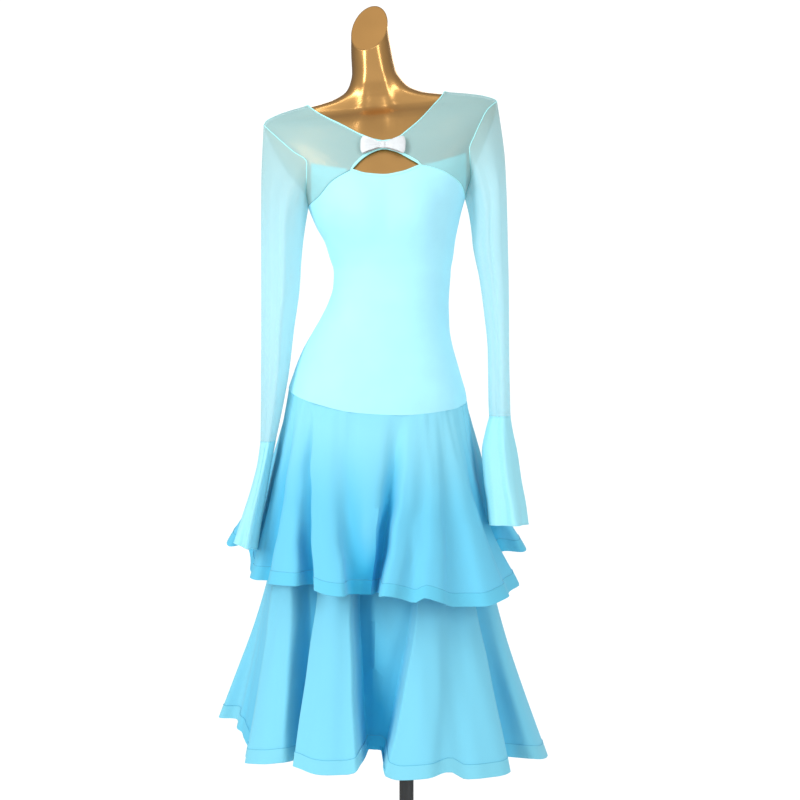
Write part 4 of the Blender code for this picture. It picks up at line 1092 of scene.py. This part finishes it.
# Skirts
class Folds:
    """Ridges and valleys round a ring; the grid's columns follow them down."""

    def __init__(self, rows, step, breadth=1.0, steepness=0.0):
        self.top, self.hem, self.mid_depth, self.hem_depth = np.array(rows, float).T
        self.breadth = breadth
        self.steepness = steepness
        following = np.roll(self.hem, -1)
        following[-1] += 360.0
        climbs = (np.roll(self.hem_depth, -1) - self.hem_depth) / HEM_MM_PER_DEGREE
        self.columns = []
        for place, reach in enumerate(np.hypot(following - self.hem, climbs)):
            count = max(2, round(reach / step))
            self.columns += [(place, k / count) for k in range(count)]

    def read(self, share):
        """Angles and depths of the columns at a share of the way down."""
        places, shares = (np.array(part) for part in zip(*self.columns))
        angles = self.top + (self.hem - self.top) * share
        levels = np.array((0.0, MID_SHARE, 1.0))
        depths = np.array([
            smooth(levels, np.array((0.0, mid, hem)), share)
            for mid, hem in zip(self.mid_depth, self.hem_depth)
        ])
        after = (places + 1) % len(angles)
        beyond = angles[after] + 360.0 * (after == 0)
        eased = (1 - np.cos(math.pi * shares)) / 2
        falling = depths[after] < depths[places]
        eased = np.where(falling, eased**self.breadth, 1 - (1 - eased) ** self.breadth)
        swing = np.abs(depths[after] - depths[places]) / FULL_SWING
        steep = self.steepness * np.minimum(swing, 1.0) * step_up((share - STEEP_START) / STEEP_RUN)
        shares = shares + steep * np.sin(2 * math.pi * shares) / (2 * math.pi)
        return (
            angles[places] + (beyond - angles[places]) * shares,
            depths[places] + (depths[after] - depths[places]) * eased,
        )


def skirt_points(folds, rows, hem, oval, out_at_seam, spread, fine):
    """Rows of a skirt from the hip seam to the hem, as one grid with the hem first, and the painted shade at
    each point.
    """
    grid, valleys = [], []
    for share in rows:
        angle, depth = folds.read(share)
        wander = soft_noise(fine["seed"], angle / WANDER_DEGREES, share * WANDER_ROWS)
        angle = angle + WANDER * wander * math.sin(math.pi * share)
        # Painted shade: darker the deeper a point lies in a valley and, where a tone is set, darker towards
        # the hem
        painted_valley_shade = np.clip(-depth / fine["full_valley"], 0, 1) * step_up(share / VALLEY_FADE)
        valleys.append(np.clip(painted_valley_shade + fine["tone"] * step_up(share / TONE_FADE), 0, 1))
        depth = depth + creases(fine["creases"], angle, share)
        seam = figure(angle, HIP_SEAM.read("height", angle), out_at_seam)
        turn = np.radians(angle)
        flare = share**spread
        out = unit(np.stack((np.cos(turn) / oval["half_x"], np.sin(turn) / oval["half_y"]), axis=-1))
        hem_x = oval["x"] + oval["half_x"] * np.cos(turn)
        hem_y = oval["y"] + oval["half_y"] * np.sin(turn)
        x = seam[:, 0] + (hem_x - seam[:, 0]) * flare + out[:, 0] * depth
        y = seam[:, 1] + (hem_y - seam[:, 1]) * flare + out[:, 1] * depth
        z = seam[:, 2] + (hem.read("height", angle % 360.0) - seam[:, 2]) * share
        grid.append(np.stack((x, y, z), axis=-1))
    return np.array(grid[::-1]), np.array(valleys[::-1])


def gathers(seed, count, depth, width, reach):
    """Small gathers that start at a seam and die out down the cloth, uneven but the same each run."""
    draw = np.random.default_rng(seed)
    rows = []
    for k in range(count):
        centre = (k + draw.uniform(-0.35, 0.35)) * 360.0 / count
        rows.append((
            centre, draw.uniform(-8, 8), width * draw.uniform(0.6, 1.5),
            depth * draw.uniform(-1.0, 1.0), -0.05, reach * draw.uniform(0.4, 1.3),
        ))
    return rows


def hem_waves(seed, count, depth, width, start):
    """Small waves low on the cloth, between its main folds."""
    draw = np.random.default_rng(seed)
    return [
        (k * 360.0 / count + draw.uniform(-4, 4), draw.uniform(-6, 6), width * draw.uniform(0.7, 1.4),
         depth * draw.uniform(-1.0, 1.0), start * draw.uniform(0.7, 1.2), 1.2)
        for k in range(count)
    ]


TIER_FINE = {
    "seed": 11,
    "full_valley": 48.0,
    "tone": 0.5,
    "creases": gathers(seed=21, count=46, depth=2.6, width=2.6, reach=0.42)
    + hem_waves(seed=31, count=30, depth=3.0, width=4.0, start=0.5),
}
LOWER_FINE = {
    "seed": 12,
    "full_valley": 60.0,
    "tone": 0.0,
    "creases": hem_waves(seed=32, count=34, depth=3.5, width=3.6, start=0.45),
}


def make_skirt(name, materials, table, hem, oval, out_at_seam, spread, rows, fine):
    folds = Folds(table, FOLD_STEP, RIDGE_BREADTH, FOLD_STEEPNESS)
    points, valleys = skirt_points(folds, rows, hem, oval, out_at_seam, spread, fine)
    piece = cloth("georgette_" + name, materials[name], points, GEORGETTE_THICKNESS, True, valleys)
    stands_for(name)
    columns = [points[:, i] for i in range(points.shape[1])]
    steps = np.linspace(HEM_BAND, 0, HEM_BAND_ROWS)
    band = np.array([[walk(column, step) for column in columns] for step in steps])[::-1]
    # The hem band carries the painted shade of the skirt's hem row
    tone = np.repeat(valleys[:1], len(steps), axis=0)
    strip = cloth("hem_band_" + name, materials["hem"], band, HEM_BAND_THICKNESS, True, tone)
    line = band[-1] + grid_normals(band, True)[-1] * HEM_BAND_THICKNESS / 2
    thread("hem_stitch_" + name, materials["stitch"], line, HEM_STITCH, closed=True)


# Sleeves
def tube(table, angle, height, depth):
    turn = np.radians(angle)
    outer, inner = table.read("outer_x", height), table.read("inner_x", height)
    half = np.abs(outer - inner) / 2 + depth
    deep = table.read("half_depth", height) + depth
    x = (outer + inner) / 2 + half * np.cos(turn)
    y = table.read("centre_y", height) + deep * np.sin(turn)
    return np.stack((x, y), axis=-1)


def armhole_ring(side, half_count):
    """The armhole all round, by rising angle round the sleeve."""
    front, back = (
        placed(on_ring(armhole(side, half, half_count), half), MESH_OUT) for half in (True, False)
    )
    return np.vstack((back[:-1], front[:0:-1]) if side == 0 else (back[:0:-1], front[:-1]))


def make_sleeve(side, material):
    name = SIDES[side]
    table = SLEEVES[name]
    folds = Folds(SLEEVE_FOLDS, TUBE_STEP)
    top = armhole_ring(side, YOKE_ROWS)
    wrist = table.rows[0, 0]
    grid = [top]
    for share in np.linspace(0, 1, SLEEVE_ROW_COUNT)[1:]:
        angle, depth = folds.read(share)
        depth = depth + creases(SLEEVE_CREASES[name], angle, share)
        z = top[:, 2] + (wrist - top[:, 2]) * share
        blend = 1 - (1 - np.clip((top[:, 2] - z) / SLEEVE_BLEND, 0, 1)[:, None]) ** 2
        flat = top[:, :2] + (tube(table, angle, z, depth) - top[:, :2]) * blend
        grid.append(np.column_stack((flat, z)))
    points = np.array(grid[::-1])
    piece = cloth("sheer_sleeve_" + name, material, points, MESH_THICKNESS, True)
    stands_for("sleeve_" + name)
    return points


def make_cuff(side, material):
    name = SIDES[side]
    table = CUFFS[name]
    folds = Folds(CUFF_FOLDS, TUBE_STEP)
    sleeve_depth = Folds(SLEEVE_FOLDS, TUBE_STEP).read(1.0)[1]
    low, high = table.rows[0, 0], SLEEVES[name].rows[0, 0]
    grid = []
    for share in np.linspace(0, 1, CUFF_ROW_COUNT):
        angle, depth = folds.read(share)
        wrist = sleeve_depth + creases(SLEEVE_CREASES[name], angle, 1.0)
        depth = depth + wrist * (1 - share) ** 2 + creases(CUFF_CREASES, angle, share)
        z = np.full(len(angle), high + (low - high) * share)
        flat = tube(table, angle, z, depth)
        z = z + CUFF_HEM_SLOPE[name] * (flat[:, 0] - flat[:, 0].mean()) * share
        grid.append(np.column_stack((flat, z)))
    points = np.array(grid[::-1])
    piece = cloth("sheer_cuff_" + name, material, points, MESH_THICKNESS, True)
    stands_for("cuff_" + name)
    thread("cuff_hem_" + name, material, points[0], CUFF_HEM_RADIUS, closed=True)
    thread("wrist_seam_" + name, material, points[-1], WRIST_SEAM_RADIUS, closed=True)


# Seams that show as fine ridges
def make_seams(yoke_front, yoke_back, bodice, sleeves, materials):
    lines = {
        "bust_seam_right": yoke_front[0, :BUST_SEAM_COLUMNS + 1],
        "bust_seam_left": yoke_front[0, -BUST_SEAM_COLUMNS - 1:],
        "back_seam": yoke_back[0],
        "shoulder_seam_right": yoke_front[-1, :SHOULDER_COLUMNS + 1],
        "shoulder_seam_left": yoke_front[-1, -SHOULDER_COLUMNS - 1:],
        "side_seam_right": bodice[:, 0],
        "side_seam_left": bodice[:, -1],
    }
    for name, line in lines.items():
        # The wearer's right bust seam is a dark painted-shade cord; the other seams are in the binding's
        # colour
        material = materials["seam" if name == "bust_seam_right" else "binding"]
        thread(name, material, line, SEAM_RADIUS)
    for side, points in zip(SIDES, sleeves):
        name = "armhole_seam_" + side
        thread(name, materials["binding"], points[-1], ARMHOLE_SEAM_RADIUS, closed=True)


# Stage
def area_light(name, place, target, size, power):
    data = bpy.data.lights.new(name, "AREA")
    data.shape = "RECTANGLE"
    data.size, data.size_y = size
    data.energy = power
    light = into_scene(name, data)
    light.location = place
    light.rotation_euler = (Vector(target) - Vector(place)).to_track_quat("-Z", "Y").to_euler()


def make_stage():
    scene = bpy.context.scene
    scene.view_settings.view_transform = "Standard"
    world = bpy.data.worlds.new("studio")
    scene.world = world
    world.use_nodes = True
    tree = world.node_tree
    rays = add_node(tree, "LightPath").outputs
    place = add_node(tree, "TexCoord").outputs["Generated"]
    ahead = add_node(tree, "SeparateXYZ", {"Vector": place}).outputs["Y"]
    low, high = (value - WORLD_LIGHT for value in WORLD_MIRRORED)
    around = add_node(tree, "MapRange", {"Value": ahead, "From Min": -1.0, "To Min": low, "To Max": high})
    straight = math_node(
        tree, "MULTIPLY_ADD", rays["Is Camera Ray"], WORLD_SEEN - WORLD_LIGHT, WORLD_LIGHT
    )
    mirrored = math_node(tree, "MULTIPLY_ADD", rays["Is Glossy Ray"], around.outputs["Result"], straight)
    set_inputs(tree, tree.nodes["Background"], {"Color": (1.0, 1.0, 1.0, 1.0), "Strength": mirrored})
    for light in LIGHTS:
        area_light(*light)
    mesh = bmesh.new()
    bmesh.ops.create_circle(mesh, cap_ends=True, radius=FLOOR_RADIUS, segments=FLOOR_SEGMENTS)
    data = bpy.data.meshes.new("studio_floor")
    mesh.to_mesh(data)
    mesh.free()
    data.materials.append(node_material("floor_paper", FLOOR_COLOUR, {"Roughness": 0.9})[0])
    into_scene("studio_floor", data)
    camera_data = bpy.data.cameras.new("camera")
    camera_data.lens = CAMERA_LENS
    camera_data.sensor_width = 36.0
    camera_data.clip_end = 100.0
    camera = into_scene("camera", camera_data)
    camera.location = CAMERA_PLACE
    camera.rotation_euler = (math.radians(90), 0, 0)
    scene.camera = camera


def main():
    make_stage()
    materials = make_materials()
    make_form(materials)
    make_stand(materials)
    yoke_front, yoke_back = (make_yoke(front, materials["mesh"]) for front in (True, False))
    bodice = make_bodice(True, materials["knit"])
    make_bodice(False, materials["knit"])
    for side in (0, 1):
        make_underlay(side, materials["underlay"])
    sleeves = [make_sleeve(side, materials["sleeve"]) for side in (0, 1)]
    for side in (0, 1):
        make_cuff(side, materials["cuff"])
    make_neckline_binding(yoke_front, yoke_back, materials["binding"])
    make_keyhole_binding(yoke_front, bodice, materials["binding"])
    make_bow(materials["satin"])
    make_skirt(
        "skirt_upper_tier", materials, TIER_FOLDS, TIER_HEM, TIER_HEM_OVAL, BODICE_OUT,
        TIER_SPREAD, np.linspace(0, 1, TIER_ROW_COUNT), TIER_FINE,
    )
    make_skirt(
        "skirt_lower", materials, LOWER_FOLDS, LOWER_HEM, LOWER_HEM_OVAL, BODICE_OUT - LOWER_SKIRT_IN,
        LOWER_SPREAD, np.linspace(0, 1, LOWER_ROW_COUNT), LOWER_FINE,
    )
    make_seams(yoke_front, yoke_back, bodice, sleeves, materials)


main()
